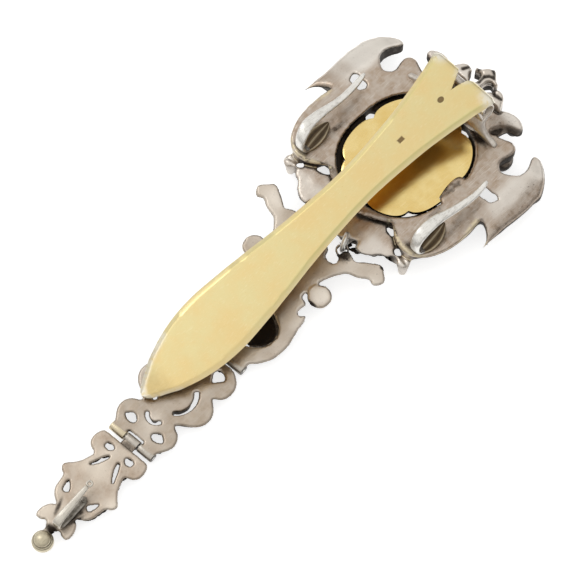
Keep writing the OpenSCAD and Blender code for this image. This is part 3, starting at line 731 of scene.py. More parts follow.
def gold_work(name, light, deep, rough, patches_mm, stamps=()):
    """Satin gold with slow patches of a deeper tone, silver showing where it is worn, grime and painted shade
    in the hollows and on the walls, and an underside painted warmer as bounced light.
    Each stamp is a small punched dent: x, y, half width, half length, and whether it is square"""
    material, shader, place = new_finish(name)
    patches = clouds(place, patches_mm, 3)
    freckles = clouds(place, 0.8, 4)
    grain = clouds(place, 0.25, 3)
    lines = scratches(place, -52)
    colour = patches.between(0.35, 0.68).mix(light, deep)
    colour = (freckles.between(0.5, 0.75) * 0.35).mix(colour, deep)
    colour = (lines.between(0.56, 0.72) * 0.18).mix(colour, BRUSHED_GOLD)
    colour = painted(place, "bevel").mix(colour, GREEN_GOLD)
    colour = (painted(place, "worn") * freckles.between(0.25, 0.5)).mix(colour, BARE_SILVER)
    # Painted light: the underside is a warmer gold, standing in for light bounced between the gold parts
    colour = painted(place, "under").mix(colour, WARM_GOLD)
    colour = (painted(place, "tarnish_and_shade") + freckles * 0.12).between(0.25, 1.0).mix(colour, GRIME_AND_SHADE)
    height = grain * 0.5 + lines * 0.3 + patches * 0.2
    for x, y, wide, long, square in stamps:
        across = (place.node("ShaderNodeSeparateXYZ", {}, {0: place}, 0) - x * MM) / (wide * MM)
        ahead = (place.node("ShaderNodeSeparateXYZ", {}, {0: place}, 1) - (y + CENTRE_Y) * MM) / (long * MM)
        away = across.size().most(ahead.size()) if square else across * across + ahead * ahead
        dent = away.between(1.1, 0.7)
        colour = (dent * 0.9).mix(colour, STAMP_BROWN)
        height = height - dent * 3.0
    set_finish(shader, {"Base Color": colour, "Metallic": 1.0,
                        "Roughness": rough + grain * 0.12 + painted(place, "bevel") * 0.4,
                        "Normal": bumps(height, 0.04, 0.7)})
    return material


gold = gold_work("satin gold", (0.80, 0.63, 0.28), (0.74, 0.54, 0.20), 0.11, 4.0)
# Painted shade: the medallion's side walls are painted dark, and its hollows a little
edge = ramp(0.9, 0.4, np.abs(normals_of(medallion)[:, 2]))
paint(medallion, "tarnish_and_shade", most_of(hollows(medallion, 0.8) * 0.6, edge))
medallion.data.materials.append(gold)
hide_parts("medallion")
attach(medallion, "crest_body")

# The side hooks: two strips of bright silver, tapered and bent back over themselves.
# Each is filed half round on top, and its broad leaf-shaped foot is soldered into a lobe of the crest.
# A strip's rows are x, y, z, half width and thickness. A profile's points are shares of these two.
ARM_LEFT = [(-14.3, -12.4, 7.0, 0.9, 0.6), (-14.2, -13.0, 7.4, 0.95, 0.8),
            (-14.3, -13.8, 8.2, 1.0, 0.85), (-14.6, -14.2, 9.6, 1.05, 0.85),
            (-15.0, -13.6, 11.1, 1.15, 0.85), (-15.6, -12.0, 12.0, 1.25, 0.85),
            (-16.0, -10.2, 12.1, 1.25, 0.85), (-16.1, -7.3, 11.7, 1.08, 0.85),
            (-16.0, -4.2, 11.1, 0.82, 0.8), (-15.9, -1.0, 10.7, 0.72, 0.75),
            (-16.1, 2.4, 10.7, 0.68, 0.7), (-16.4, 4.5, 10.8, 0.58, 0.6),
            (-16.5, 5.4, 10.9, 0.42, 0.5), (-16.5, 5.8, 10.9, 0.2, 0.3)]
ARM_RIGHT = [(17.0, -12.2, 7.0, 0.9, 0.6), (17.0, -12.8, 7.4, 0.95, 0.8),
             (16.8, -13.7, 8.2, 1.0, 0.85), (16.5, -14.1, 9.6, 1.05, 0.85),
             (16.2, -13.4, 11.1, 1.15, 0.85), (16.0, -11.8, 12.0, 1.25, 0.85),
             (15.9, -9.6, 12.1, 1.25, 0.85), (16.0, -7.2, 11.7, 1.1, 0.85),
             (16.4, -4.6, 11.2, 0.88, 0.8), (16.9, -1.3, 10.8, 0.76, 0.75),
             (17.2, 1.7, 10.7, 0.68, 0.7), (17.1, 4.0, 10.8, 0.56, 0.6),
             (16.9, 5.2, 10.9, 0.42, 0.5), (16.8, 5.7, 10.9, 0.2, 0.3)]
ARM_PROFILE = [(-1.0, -0.15), (-0.98, 0.12), (-0.84, 0.38), (-0.5, 0.46), (0, 0.5),
               (0.5, 0.44), (0.82, 0.3), (0.98, 0.05), (1.0, -0.15), (0.9, -0.38),
               (0.5, -0.46), (0, -0.48), (-0.5, -0.46), (-0.9, -0.38)]
FOOT_LEFT = [(-14.1, -13.4, 7.15, 0.35, 1.0), (-14.2, -12.5, 7.2, 1.05, 1.0),
             (-14.5, -10.9, 7.25, 1.6, 1.0), (-14.8, -9.0, 7.25, 1.65, 1.0),
             (-15.0, -7.3, 7.2, 1.2, 0.9), (-15.2, -6.1, 7.1, 0.6, 0.7),
             (-15.3, -5.5, 7.0, 0.15, 0.3)]
FOOT_RIGHT = [(17.1, -13.1, 7.15, 0.35, 1.0), (17.1, -12.2, 7.2, 1.05, 1.0),
              (17.0, -10.6, 7.25, 1.6, 1.0), (16.8, -8.7, 7.25, 1.65, 1.0),
              (16.5, -7.0, 7.2, 1.2, 0.9), (16.2, -5.8, 7.1, 0.6, 0.7),
              (16.0, -5.1, 7.0, 0.15, 0.3)]
FOOT_PROFILE = [(-1.0, 0.34), (-0.88, 0.42), (-0.72, 0.22), (-0.4, 0.02), (-0.14, 0.1),
                (0, 0.2), (0.14, 0.1), (0.4, 0.02), (0.72, 0.22), (0.88, 0.42),
                (1.0, 0.34), (1.0, -0.4), (0, -0.5), (-1.0, -0.4)]
SIDE_HOOKS = {"left_side_hook": (ARM_LEFT, FOOT_LEFT), "right_side_hook": (ARM_RIGHT, FOOT_RIGHT)}
CURVE_STEPS = 5


def curve_between(before, a, b, after, t):
    """A smooth curve from a to b, with t from 0 to 1, that fits on to its neighbours"""
    return 0.5 * (2 * a + (b - before) * t + (2 * before - 5 * a + 4 * b - after) * t * t
                  + (3 * a - before - 3 * b + after) * t ** 3)


def smooth_rows(rows):
    """A smooth run of rows through the given ones"""
    rows = np.array(rows, float)
    run = []
    for i in range(len(rows) - 1):
        a, b = rows[i], rows[i + 1]
        before, after = rows[max(i - 1, 0)], rows[min(i + 2, len(rows) - 1)]
        for k in range(CURVE_STEPS):
            run.append(curve_between(before, a, b, after, k / CURVE_STEPS))
    return np.array(run + [rows[-1]])


def new_piece(name):
    """The shape that was just added, under its own name"""
    piece = bpy.context.object
    piece.name = name
    piece.data.name = name
    return piece


def plain_points(piece):
    """The points in millimetres of a shape just added at the origin"""
    return points_of(piece) + (0, CENTRE_Y, 0)


def sweep(name, rows, profile):
    """Rolls a flat grid into a bar: each row of the strip carries the profile across it"""
    profile = np.array(profile)
    ahead = np.gradient(rows[:, :3], axis=0)
    ahead /= np.linalg.norm(ahead, axis=1)[:, None]
    side = np.cross(ahead, np.cross((1, 0, 0), ahead))
    side /= np.linalg.norm(side, axis=1)[:, None]
    up = np.cross(side, ahead)
    bpy.ops.object.select_all(action="DESELECT")
    bpy.ops.mesh.primitive_grid_add(x_subdivisions=len(profile), y_subdivisions=len(rows) - 1, size=2)
    piece = new_piece(name)
    flat = np.empty(len(piece.data.vertices) * 3)
    piece.data.vertices.foreach_get("co", flat)
    flat = flat.reshape(-1, 3)
    column = np.rint((flat[:, 0] + 1) / 2 * len(profile)).astype(int) % len(profile)
    row = np.rint((flat[:, 1] + 1) / 2 * (len(rows) - 1)).astype(int)
    wide = (profile[column, 0] * rows[row, 3])[:, None]
    high = (profile[column, 1] * rows[row, 4])[:, None]
    move_points(piece, rows[row, :3] + side[row] * wide + up[row] * high)
    paint(piece, "across", (profile[column, 0] + 1) / 2)
    only(piece)
    bpy.ops.object.mode_set(mode="EDIT")
    bpy.ops.mesh.select_all(action="SELECT")
    bpy.ops.mesh.remove_doubles(threshold=0.000002)
    bpy.ops.mesh.fill_holes(sides=0)
    bpy.ops.mesh.normals_make_consistent(inside=False)
    bpy.ops.object.mode_set(mode="OBJECT")
    modify(piece, "SUBSURF", levels=1, render_levels=1)
    only(piece)
    bpy.ops.object.shade_smooth()
    return piece


def from_middle(strip):
    """How far across its strip each point is: 0 in the middle, 1 at either edge"""
    return np.abs(np.array([a.value for a in strip.data.attributes["across"].data]) * 2 - 1)


def bright_strip(name, light, stain, rough, turn=0):
    """Bright silver strip or wire with brushed lines and brown patches, darkened where its points carry
    painted shade and patina
    """
    material, shader, place = new_finish(name)
    mottle = clouds(place, 1.1, 4)
    grain = clouds(place, 0.2, 3)
    lines = scratches(place, turn)
    dark = painted(place, "tarnish_and_shade") * (0.5 + mottle) + (mottle - 0.62).most(0.0) * 0.6 + (grain - 0.5) * 0.15
    colour = (mottle.between(0.45, 0.75) * 0.4).mix(light, stain)
    colour = (lines.between(0.5, 0.7) * 0.55).mix(colour, stain)
    colour = dark.between(0.05, 0.95).mix(colour, SILVER_BLACK)
    colour = painted(place, "solder").mix(colour, SOLDER)
    set_finish(shader, {"Base Color": colour, "Metallic": 1.0,
                        "Roughness": rough + grain * 0.12 + lines * 0.1,
                        "Normal": bumps(grain * 0.4 + mottle * 0.4 + lines * 0.5, 0.06, 0.9)})
    return material


bright_silver = bright_strip("bright silver", (0.80, 0.785, 0.745), (0.42, 0.39, 0.35), 0.2)
# The feet take a darker copy of the bright silver: their tarnish, and painted shade for the shadow of the
# arms above
shaded_foot_silver = bright_strip("tarnished and shaded hook foot silver", (0.115, 0.082, 0.05), (0.05, 0.036, 0.022), 0.3)
for name, (arm_rows, foot_rows) in SIDE_HOOKS.items():
    arm = sweep(name, smooth_rows(arm_rows), ARM_PROFILE)
    spots = points_of(arm)
    # Painted shade: the arm is darker low down near the crest and on its underside, and a little on its sides
    # higher up
    low = ramp(9.4, 8.0, spots[:, 2])
    under = ramp(-0.1, -0.6, normals_of(arm)[:, 2])
    edge = ramp(0.45, 0.1, np.abs(normals_of(arm)[:, 2])) * ramp(9.0, 10.0, spots[:, 2])
    paint(arm, "tarnish_and_shade", most_of(0.5 * low, 0.4 * under, 0.2 * edge))
    arm.data.materials.append(bright_silver)
    foot = sweep(name + "_foot", smooth_rows(foot_rows), FOOT_PROFILE)
    share = from_middle(foot)
    paint(foot, "solder", most_of(ramp(0.7, 0.88, share), 0.7 * ramp(0.14, 0.03, share)) * 0.6)
    paint(foot, "tarnish_and_shade", 0.45 * ramp(0.15, 0.4, share) * ramp(0.75, 0.6, share))
    foot.data.materials.append(shaded_foot_silver)
    for piece in (arm, foot):
        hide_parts("crest")
        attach(piece, "crest_body")

# The bracket: a silver sheet that stands on the crest, its top rolled into a loop, with a lip under the fold.
# Both are one soldered piece. The sheet's ends are filed bright. Its face towards the opening, the inside of
# its loop and the loop's top are painted brown and dark, as shade under the tongue's fold
SHEET = [(0, 14.1, 6.7, 11.8, 1.6), (0, 14.1, 7.3, 11.6, 1.6), (0, 14.1, 8.2, 9.8, 1.4),
         (0, 14.5, 9.3, 8.1, 1.3), (0, 15.1, 10.2, 7.5, 1.2), (0, 16.1, 10.7, 7.35, 0.8),
         (0, 17.2, 11.4, 7.35, 0.6), (0, 17.7, 12.5, 7.1, 0.6), (0, 17.2, 13.4, 6.8, 0.6),
         (0, 16.3, 13.6, 6.6, 0.6), (0, 15.5, 13.0, 6.7, 0.6), (0, 15.2, 12.0, 6.8, 0.6)]
LIP = [(0, 15.0, 9.9, 7.4, 1.0), (0, 14.9, 11.2, 6.8, 1.0), (0, 14.6, 12.6, 6.0, 0.8),
       (0, 14.0, 14.2, 5.5, 0.55), (0, 13.1, 15.6, 5.0, 0.45)]
SHEET_PROFILE = [(-1.0, -0.35), (-1.0, 0.35), (-0.985, 0.5), (0.985, 0.5),
                 (1.0, 0.35), (1.0, -0.35), (0.985, -0.5), (-0.985, -0.5)]
LOOP_MIDDLE = (16.4, 12.1)
LOOP_RADIUS = 1.75
bracket = sweep("bracket", smooth_rows(SHEET), SHEET_PROFILE)
join(bracket, sweep("lip", smooth_rows(LIP), SHEET_PROFILE))
sheet = points_of(bracket)
# Its left end stands nearer the opening
sheet[:, 1] += 0.04 * np.minimum(sheet[:, 0], 0) * ramp(11.0, 8.0, sheet[:, 2])
move_points(bracket, sheet)
sheet_normals = normals_of(bracket)
from_loop = sheet[:, 1:] - LOOP_MIDDLE
faces_middle = (from_loop * sheet_normals[:, 1:]).sum(1) < 0
in_loop = faces_middle & (np.hypot(from_loop[:, 0], from_loop[:, 1]) < LOOP_RADIUS)
bright_end = ramp(0.96, 0.985, from_middle(bracket))
# Painted shade: dark inside the loop, on the face towards the opening and on the loop's top, all under the
# tongue's fold
loop_top = 0.5 * ramp(12.6, 13.2, sheet[:, 2]) * ramp(0.0, 0.5, sheet_normals[:, 2])
outer_face = 0.75 * ramp(0.0, -0.5, sheet_normals[:, 1])
brown = np.where(in_loop, 1.0, most_of(outer_face, loop_top)) * (1 - bright_end)
paint(bracket, "tarnish_and_shade", most_of(brown, 0.25 * (1 - bright_end)))
paint(bracket, "solder", 0.4 * ramp(15.0, 15.4, sheet[:, 2]))
sheet_silver = bright_strip("brushed silver sheet", (0.68, 0.63, 0.57), (0.40, 0.34, 0.29), 0.25, 90)
bracket.data.materials.append(sheet_silver)
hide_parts("crest")
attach(bracket, "crest_body")

# The belt hook's tongue: a long leaf of gilt metal, bevelled all round and folded over at its broad top.
# Its end is slit in the middle. The gilding is worn to white silver at the fold and along the edge.
BLADE_X = 0.12
# The blade's half width at each place along it
BLADE_HALF = [(-71.0, 0.0), (-70.6, 0.9), (-69.8, 1.65), (-68.5, 2.5), (-65.0, 4.4), (-60.3, 6.05),
              (-55.5, 7.0), (-50.5, 7.25), (-45.0, 6.85), (-40.0, 6.3), (-30.0, 5.1), (-20.5, 4.35),
              (-14.5, 4.1), (-10.0, 4.2), (-4.5, 4.6), (1.5, 5.2), (7.5, 6.15), (12.0, 7.0),
              (14.6, 7.6), (15.8, 7.9), (16.8, 7.8), (17.8, 7.4), (19.2, 7.0), (20.5, 6.9)]
BLADE_SLOPE = math.atan(0.154)
BLADE_THICK = 0.95
FOLD_Y = 15.7
FOLD_R = 0.95
FOLD_TOP = 17.68
FOLD_TURN = math.radians(165)
BEVEL_WIDE = 0.95
BEVEL_DEEP = 0.42
TIP = -71.0
END = 20.5
COLUMNS = 28
ROWS = 170
# The slit's outline on the flat blank, from its lower point up its left side and down its right side
SLIT = [(0.05, 12.4), (-0.55, 13.8), (-1.05, 15.0), (-1.6, 16.0), (-2.5, 17.0), (-4.0, 18.2),
        (-6.0, 19.4), (-6.0, 23.0), (6.0, 23.0), (6.0, 19.2), (3.6, 17.9), (1.9, 16.8),
        (1.0, 15.9), (0.6, 15.0), (0.3, 13.8)]
TIP_EDGE = [(-6.05, -60.3), (-4.4, -65.0), (-2.5, -68.5), (-1.65, -69.8),
            (0.0, -71.0), (1.65, -69.8), (2.5, -68.5), (4.4, -65.0)]


def along(table, at):
    """A smooth value between the rows of a table whose first column is the place"""
    rows = np.array(table)
    i = np.clip(np.searchsorted(rows[:, 0], at) - 1, 0, len(rows) - 2)
    t = np.clip((at - rows[i, 0]) / (rows[i + 1, 0] - rows[i, 0]), 0, 1)
    a, b = rows[i, 1], rows[i + 1, 1]
    before, after = rows[np.maximum(i - 1, 0), 1], rows[np.minimum(i + 2, len(rows) - 1), 1]
    return curve_between(before, a, b, after, t)


def bend_blank(flat):
    """Bends the flat blank (across, along, up) into the tongue: straight and sloping, then round the fold"""
    across, s, up = flat.T
    turn = np.clip((s - FOLD_Y) / FOLD_R, 0, FOLD_TURN)
    past = np.maximum(s - FOLD_Y - FOLD_R * FOLD_TURN, 0)
    before = np.minimum(s, FOLD_Y)
    middle = FOLD_TOP - BLADE_THICK / 2
    angle = math.pi / 2 + BLADE_SLOPE - turn
    y = before + FOLD_R * (np.cos(angle) + math.sin(BLADE_SLOPE)) + past * np.sin(angle)
    z = middle - (FOLD_Y - before) * math.tan(BLADE_SLOPE) + FOLD_R * (np.sin(angle) - math.cos(BLADE_SLOPE))
    z -= past * np.cos(angle)
    height = up + BLADE_THICK / 2
    return np.column_stack([BLADE_X + across, y + height * np.cos(angle), z + height * np.sin(angle)])


bpy.ops.object.select_all(action="DESELECT")
bpy.ops.mesh.primitive_grid_add(x_subdivisions=COLUMNS, y_subdivisions=ROWS, size=2)
tongue = new_piece("gilt_tongue")
grid = plain_points(tongue)
grid /= np.abs(grid[:, 0]).max()
s = TIP + (END - TIP) * (0.5 - 0.5 * np.cos((grid[:, 1] + 1) / 2 * math.pi))
half_wide = np.maximum(along(BLADE_HALF, s), 0.004)
outer_column = COLUMNS // 2
column = np.rint(grid[:, 0] * outer_column)
inner = half_wide - np.minimum(BEVEL_WIDE, half_wide * 0.5)
at_edge = np.abs(column) == outer_column
x = np.where(at_edge, half_wide, inner * np.abs(column) / (outer_column - 1)) * np.sign(column)
up = np.where(at_edge, -BEVEL_DEEP * np.minimum(half_wide / 1.5, 1), 0)
move_points(tongue, np.column_stack([x, s, up]))
SLIT_SIDES = list(zip(SLIT, SLIT[1:] + SLIT[:1]))


def in_slit(px, py):
    """Whether a place on the flat blank is inside the slit's outline"""
    inside = False
    for (x0, y0), (x1, y1) in SLIT_SIDES:
        if (y0 > py) != (y1 > py) and px < (x1 - x0) * (py - y0) / (y1 - y0) + x0:
            inside = not inside
    return inside


# Each side of the slit is cut into the faces near it, and the faces inside are then taken out
only(tongue)
for (x0, y0), (x1, y1) in SLIT_SIDES:
    bpy.ops.object.mode_set(mode="EDIT")
    bpy.ops.mesh.select_mode(type="FACE")
    bpy.ops.mesh.select_all(action="DESELECT")
    bpy.ops.object.mode_set(mode="OBJECT")
    for face in tongue.data.polygons:
        fx, fy = face.center.x / MM, face.center.y / MM - CENTRE_Y
        face.select = abs(fx) < 7 and min(y0, y1) - 1 < fy < max(y0, y1) + 1
    bpy.ops.object.mode_set(mode="EDIT")
    corner = (x0 * MM, (y0 + CENTRE_Y) * MM, 0)
    bpy.ops.mesh.bisect(plane_co=corner, plane_no=(y1 - y0, x0 - x1, 0))
    bpy.ops.object.mode_set(mode="OBJECT")
bpy.ops.object.mode_set(mode="EDIT")
bpy.ops.mesh.select_all(action="DESELECT")
bpy.ops.object.mode_set(mode="OBJECT")
for face in tongue.data.polygons:
    face.select = in_slit(face.center.x / MM, face.center.y / MM - CENTRE_Y)
bpy.ops.object.mode_set(mode="EDIT")
bpy.ops.mesh.delete(type="FACE")
bpy.ops.mesh.select_all(action="SELECT")
bpy.ops.mesh.remove_doubles(threshold=0.00002)
bpy.ops.object.mode_set(mode="OBJECT")
modify(tongue, "SOLIDIFY", thickness=BLADE_THICK * MM, offset=-1.0, use_even_offset=False)
blank = points_of(tongue)
bottom = blank[:, 2] < -BLADE_THICK * 0.7
blank[bottom, 2] = -BLADE_THICK
blade_edge = along(BLADE_HALF, blank[:, 1])
near_edge = ramp(0.5, 0.0, blade_edge - np.abs(blank[:, 0]))
blank[bottom, 0] -= (np.sign(blank[:, 0]) * 0.3 * near_edge * np.minimum(blade_edge, 1))[bottom]
across_edge = blade_edge - np.abs(blank[:, 0])
lobe_sides = most_of(spot(blank, -7.2, 16.6, 3.4, 2.6), spot(blank, 7.2, 16.4, 4.2, 3.0))
lobes = most_of(ramp(16.2, 17.4, blank[:, 1]), lobe_sides)
slit_worn = all_lines(blank, [SLIT[2:6], SLIT[10:14]], 0.8) * ramp(14.4, 15.4, blank[:, 1])
rim = ramp(0.35, 0.0, across_edge) * ~bottom
tip_left = 0.85 * line(blank, TIP_EDGE[:5], 1.5)
tip_right = 0.6 * line(blank, TIP_EDGE[4:], 0.8)
tip_rim = most_of(tip_left, tip_right) * ~bottom
paint(tongue, "worn", most_of(0.9 * lobes, 0.45 * slit_worn, 0.15 * rim, tip_rim))
sloped = ramp(BEVEL_WIDE + 0.3, BEVEL_WIDE, across_edge) * ramp(0.1, 0.3, across_edge) * ~bottom
side = np.where(blank[:, 0] > 0, 0.6, 0.4125)
paint(tongue, "bevel", sloped * (1 - lobes) * side * ramp(-60, -20, blank[:, 1]))
# Painted light: the underside, up to the fold, takes the warmer gold of bounced light
paint(tongue, "under", bottom * (blank[:, 1] < 15.0))
slit_dark = all_lines(blank, [SLIT[:3], SLIT[13:] + SLIT[:1]], 0.25)
tip_dark = 0.40 * ramp(-60, -68, blank[:, 1]) * (1 - tip_rim)
paint(tongue, "tarnish_and_shade", most_of(tip_dark, 0.35 * slit_dark))
move_points(tongue, bend_blank(blank))
soften_edges(tongue, 0.09, 3, 24)
shade_by_angle(tongue, 35)
modify(tongue, "WEIGHTED_NORMAL", weight=80, keep_sharp=True)
STAMPS = [(0.05, 9.7, 0.6, 0.75, False), (0.15, -1.4, 0.5, 0.75, True)]
gilt = gold_work("pale worn gilding", (0.70, 0.60, 0.31), (0.72, 0.56, 0.265), 0.24, 9.0, STAMPS)
tongue.data.materials.append(gilt)
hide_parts("belt_hook")
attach(tongue, "crest_body")

# The jump rings: two small rings of drawn silver wire.
# Each is bent round and closed through an eye of the crest and an eye of the drop.
WIRE_SWELL = 0.2
for ring in ("left_ring", "right_ring"):
    wire = take(ring, ring + "_wire")
    modify(wire, "SUBSURF", levels=1, render_levels=1)
    move_points(wire, points_of(wire) + WIRE_SWELL * normals_of(wire))
    set_down(wire)
    only(wire)
    bpy.ops.object.shade_smooth()
    # Painted shade: the wire is darker underneath
    paint(wire, "tarnish_and_shade", 0.1 + 0.4 * ramp(0.3, -0.5, normals_of(wire)[:, 2]))
    wire.data.materials.append(bright_silver)
    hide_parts(ring)
    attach(wire, "crest_body")

# The drop's three links: silver castings, pierced, with soft edges, hinged on pins.
# Their backs were filed flat. The tail's silver is a little browner than the other two links'.
SWING = math.radians(4.8)
HANG_Y = -21.0
LINK_LEAN = math.radians(5.3)
LINK_FOOT_Y = -32.7
LINK_BACK_Z = 2.8
LINK_WALL_Z = 2.7
LINK_RIM_Z = 2.6
TAIL_BACK_Z = 2.84


def on_drop(places):
    """The same points in the drop's own frame, which swings a little to one side"""
    x, y = places[:, 0], places[:, 1] - HANG_Y
    c, s = math.cos(SWING), math.sin(SWING)
    return np.column_stack([x * c + y * s, y * c - x * s, places[:, 2]])


def from_drop(places):
    """Points in the drop's own frame, back in the crest's"""
    c, s = math.cos(SWING), math.sin(SWING)
    return np.column_stack([places[:, 0] * c - places[:, 1] * s,
                            places[:, 0] * s + places[:, 1] * c + HANG_Y, places[:, 2]])


def slant(here, node):
    """The upper link leans, and rises from its hinge towards the rings"""
    return math.tan(LINK_LEAN) * np.clip(here[:, 1] - LINK_FOOT_Y, 0, None) * (node == "upper_link")


# Each link's body, the fineness of its skin, and the rounds that soften it
LINKS = {"upper_link": ("crest_body", 0.2, 3),
         "middle_link": ("middle_link", 0.16, 2),
         "tail": ("tail", 0.15, 2)}
drop_silver = silver_casting("worn silver of the drop", (0.47, 0.405, 0.335), (0.71, 0.645, 0.565),
                             (0.42, 0.345, 0.27), 0.28, 0.12)
tail_silver = silver_casting("darker silver of the tail", (0.50, 0.425, 0.35), (0.70, 0.625, 0.53),
                             (0.40, 0.31, 0.235), 0.3, 0.12)
# Stains and painted shade on the links, in the same columns as the crest's. Beside the leaf lies the painted
# shadow of the tongue, and below the disc its painted shaded side
LINK_STAINS_AND_SHADE = {"upper_link": {"eye": (0.85, 6.3, -2.8, 2.5, 2.5, 0),
                              "arm's end": (0.85, 14.0, -0.2, 0.9, 0.9, 0),
                              "below the disc": (0.9, 8.0, -14.5, 2.0, 0.6, 0),
                              "beside the leaf": (0.35, 3.0, -5.0, 5.0, 3.0, 0)},
               "tail": {"hook": (0.75, 1.6, -75.0, 1.9, 6.0, 0),
                        "neck": (0.9, 0.6, -80.0, 2.6, 1.5, 0),
                        "hinge": (0.6, 0.0, -58.6, 2.6, 1.4, 0),
                        "right of the leaves": (0.7, 2.6, -76.0, 0.7, 3.2, -20),
                        "left of the leaves": (0.7, -1.6, -76.0, 0.7, 3.2, 20)}}
CUP_Y = -24.6
CUP_HALF_WIDE = 7.3
CUP_HALF_LONG = 4.6
LONG_CUTS = [(3.2, -46.7, 5.5, 4.5), (0.0, -53.0, 3.0, 2.6)]
RUBBED_DISC = (8.3, -12.2, 3.2, 3.2)
LINK_RIM = 0.3
LINK_RIM_DEPTH = 1.2
LINK_LEAN_MOST = 1.1
for node, (body_name, voxel, rounds) in LINKS.items():
    link = take(node, node + "_casting")
    if node == "tail":
        cut(link, (0, 0, TAIL_BACK_Z), (0, 0, 1))
    cast(link, voxel, rounds)
    here = on_drop(points_of(link))
    # The long cuts of the middle link are sawn square, and show their walls
    sawn = most_of(*[spot(here, *cut_place) for cut_place in LONG_CUTS]) * (node == "middle_link")
    lean_walls(link, LINK_WALL_Z + slant(here, node), 0.55 * (1 - sawn), LINK_LEAN_MOST)
    upper = normals_of(link)[:, 2] > 0.6
    raised = points_of(link)
    raised[upper, 2] += 0.04 * ripples(raised, 1.8)[upper]
    roll_rims(link, upper, raised, lambda places: np.full(len(places), LINK_RIM), LINK_RIM_DEPTH)
    set_down(link)
    here = on_drop(points_of(link))
    # Painted shade with the tarnish: darker down the walls and in the hollows
    shade = tarnish_and_shade(link, 1.2, LINK_RIM_Z + slant(here, node), 0.8)
    rubbed_and_lit = (0.22 if node == "middle_link" else 0.42) + 0.3 * ripples(here, 4.0)
    if node in LINK_STAINS_AND_SHADE:
        shade = most_of(shade, stain_and_shade_patches(here, LINK_STAINS_AND_SHADE[node]))
    if node == "upper_link":
        rubbed_and_lit = most_of(rubbed_and_lit, spot(here, *RUBBED_DISC))
        in_cup = ramp(1.02, 0.9, np.hypot(here[:, 0] / CUP_HALF_WIDE, (here[:, 1] - CUP_Y) / CUP_HALF_LONG))
        in_cup *= ramp(-0.2, -0.6, here[:, 2] - LINK_BACK_Z - slant(here, node))
        shade = most_of(shade, 0.95 * in_cup)
    paint(link, "tarnish_and_shade", shade)
    paint(link, "rubbed_and_lit", rubbed_and_lit)
    link.data.materials.append(tail_silver if node == "tail" else drop_silver)
    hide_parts(node)
    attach(link, body_name)

# The tail's hook: a bright tapered strip of silver, bent back over itself to take the watch.
# It is riveted to the tail at one end, and its free end is turned into a small ring.
TAIL_HOOK = [(1.3, -71.7, 3.0, 0.7, 0.5), (1.3, -74.0, 3.1, 0.75, 0.5), (1.25, -76.8, 3.15, 0.85, 0.55),
             (1.15, -78.4, 3.35, 0.92, 0.6), (1.1, -79.1, 4.3, 0.93, 0.6), (1.0, -78.7, 5.2, 0.93, 0.6),
             (0.9, -77.0, 5.55, 0.85, 0.6), (0.8, -74.2, 5.6, 0.68, 0.55), (0.65, -71.4, 5.6, 0.55, 0.5),
             (0.6, -70.1, 5.6, 0.45, 0.45)]
RING_END = (0.58, -69.4, 5.6)
RIVET = (1.2, -71.9, 3.2)
tail_hook = sweep("tail_hook", smooth_rows(TAIL_HOOK), ARM_PROFILE)
bpy.ops.object.select_all(action="DESELECT")
bpy.ops.mesh.primitive_torus_add(major_radius=0.5 * MM, minor_radius=0.22 * MM,
                                 major_segments=32, minor_segments=12)
ring_end = bpy.context.object
move_points(ring_end, plain_points(ring_end) + RING_END)
bpy.ops.object.select_all(action="DESELECT")
bpy.ops.mesh.primitive_cylinder_add(vertices=32, radius=0.62 * MM, depth=0.6 * MM)
rivet = bpy.context.object
soften_edges(rivet, 0.22, 4)
move_points(rivet, plain_points(rivet) + RIVET)
join(tail_hook, ring_end, rivet)
move_points(tail_hook, from_drop(points_of(tail_hook)))
only(tail_hook)
bpy.ops.object.shade_smooth()
# Painted shade: the strip is darker low down by the tail and on its underside
low = 0.55 * ramp(4.3, 3.4, points_of(tail_hook)[:, 2])
under = 0.35 * ramp(0.2, -0.4, normals_of(tail_hook)[:, 2])
paint(tail_hook, "tarnish_and_shade", most_of(low, under))
hook_silver = bright_strip("worn silver strip", (0.60, 0.565, 0.50), (0.34, 0.30, 0.25), 0.22, 5)
tail_hook.data.materials.append(hook_silver)
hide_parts("tail")
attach(tail_hook, "tail")

# The ball at the tail's end: cast in silver, soldered on and yellowed by the solder.
# Two fine grooves are turned round its upper half.
BALL_RADIUS = 2.1
BALL = (0.55, -82.6, 2.11)
UPPER_GROOVE_Z = 1.25
LOWER_GROOVE_Z = 0.75
bpy.ops.object.select_all(action="DESELECT")
bpy.ops.mesh.primitive_uv_sphere_add(segments=64, ring_count=48, radius=BALL_RADIUS * MM)
ball = new_piece("tail_ball")
round_points = plain_points(ball)
upper_groove = ramp(0.16, 0.05, np.abs(round_points[:, 2] - UPPER_GROOVE_Z))
groove = most_of(upper_groove, ramp(0.14, 0.05, np.abs(round_points[:, 2] - LOWER_GROOVE_Z)))
# Painted shade: the lower half is darker, and the grooves dark
ball_shade = 0.7 * groove + 0.25 * ramp(0.6, -1.2, round_points[:, 2])
round_points *= (1 - 0.05 * groove)[:, None]
move_points(ball, from_drop(round_points + BALL))
paint(ball, "tarnish_and_shade", ball_shade)
only(ball)
bpy.ops.object.shade_smooth()
ball_silver = bright_strip("yellowed silver ball", (0.60, 0.54, 0.40), (0.36, 0.31, 0.22), 0.24, 20)
ball.data.materials.append(ball_silver)
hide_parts("tail")
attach(ball, "tail")

# The hinge knuckles: short sleeves of rolled silver, three to a hinge, soldered to the links' ends.
# The outer two sit on one link and the middle one on the next, with a little play between them.
LOWER_HINGE = (4.786, -38.417, 1.9)
UPPER_HINGE = (2.736, -14.003, 1.75)
PIN_WAY = np.array((math.cos(SWING), math.sin(SWING), 0))
PIN_SIDE = np.array((-math.sin(SWING), math.cos(SWING), 0))
UPRIGHT = np.array((0, 0, 1))
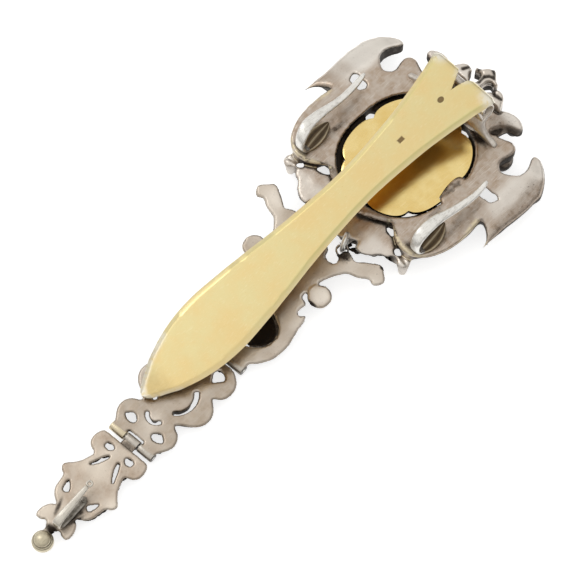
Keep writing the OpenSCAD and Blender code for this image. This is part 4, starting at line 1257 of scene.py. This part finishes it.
# Each knuckle's hinge, its two ends along the pin, its radius, its node and its body
KNUCKLES = [("upper_left_knuckle", UPPER_HINGE, -6.5, -2.4, 1.08, "upper_link", "crest_body"),
            ("upper_middle_knuckle", UPPER_HINGE, -2.2, 2.2, 1.08, "middle_link", "middle_link"),
            ("upper_right_knuckle", UPPER_HINGE, 2.4, 6.5, 1.08, "upper_link", "crest_body"),
            ("lower_left_knuckle", LOWER_HINGE, -5.25, -1.8, 0.93, "middle_link", "middle_link"),
            ("lower_middle_knuckle", LOWER_HINGE, -1.55, 1.55, 0.93, "tail", "tail"),
            ("lower_right_knuckle", LOWER_HINGE, 1.8, 5.25, 0.93, "middle_link", "middle_link")]
knuckle_silver = bright_strip("rolled silver knuckle", (0.56, 0.52, 0.46), (0.33, 0.29, 0.25), 0.22, 5)
for name, centre, start_x, end_x, radius, node, body_name in KNUCKLES:
    bpy.ops.object.select_all(action="DESELECT")
    bpy.ops.mesh.primitive_cylinder_add(vertices=48, radius=radius * MM, depth=(end_x - start_x) * MM)
    sleeve = new_piece(name)
    soften_edges(sleeve, 0.1, 3)
    local = plain_points(sleeve)
    length = (local[:, 2] + (start_x + end_x) / 2)[:, None]
    laid = np.array(centre) + PIN_WAY * length + PIN_SIDE * local[:, :1] + UPRIGHT * local[:, 1:2]
    move_points(sleeve, laid - (0, CENTRE_Y, 0))
    # Painted shade: each knuckle is darker at its ends, where it meets the next, and underneath
    end_shade = 0.8 * ramp(0.14, 0.0, (end_x - start_x) / 2 - np.abs(local[:, 2]))
    under = 0.7 * ramp(0.35, -0.2, normals_of(sleeve)[:, 2])
    paint(sleeve, "tarnish_and_shade", most_of(end_shade, under))
    solder = 0.9 if name == "lower_left_knuckle" else 0.0
    paint(sleeve, "solder", np.full(len(local), solder))
    shade_by_angle(sleeve, 50)
    sleeve.data.materials.append(knuckle_silver)
    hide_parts(node)
    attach(sleeve, body_name)

# The hinge pins: short lengths of drawn silver wire with rounded ends.
# Each is pushed through its hinge's knuckles and held by the outer two.
for pin, body_name in (("upper_hinge_pin", "crest_body"), ("lower_hinge_pin", "middle_link")):
    rod = take(pin, pin + "_rod")
    soften_edges(rod, 0.12, 3)
    shade_by_angle(rod, 50)
    paint(rod, "tarnish_and_shade", np.full(len(rod.data.vertices), 0.35))
    rod.data.materials.append(bright_silver)
    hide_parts(pin)
    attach(rod, body_name)
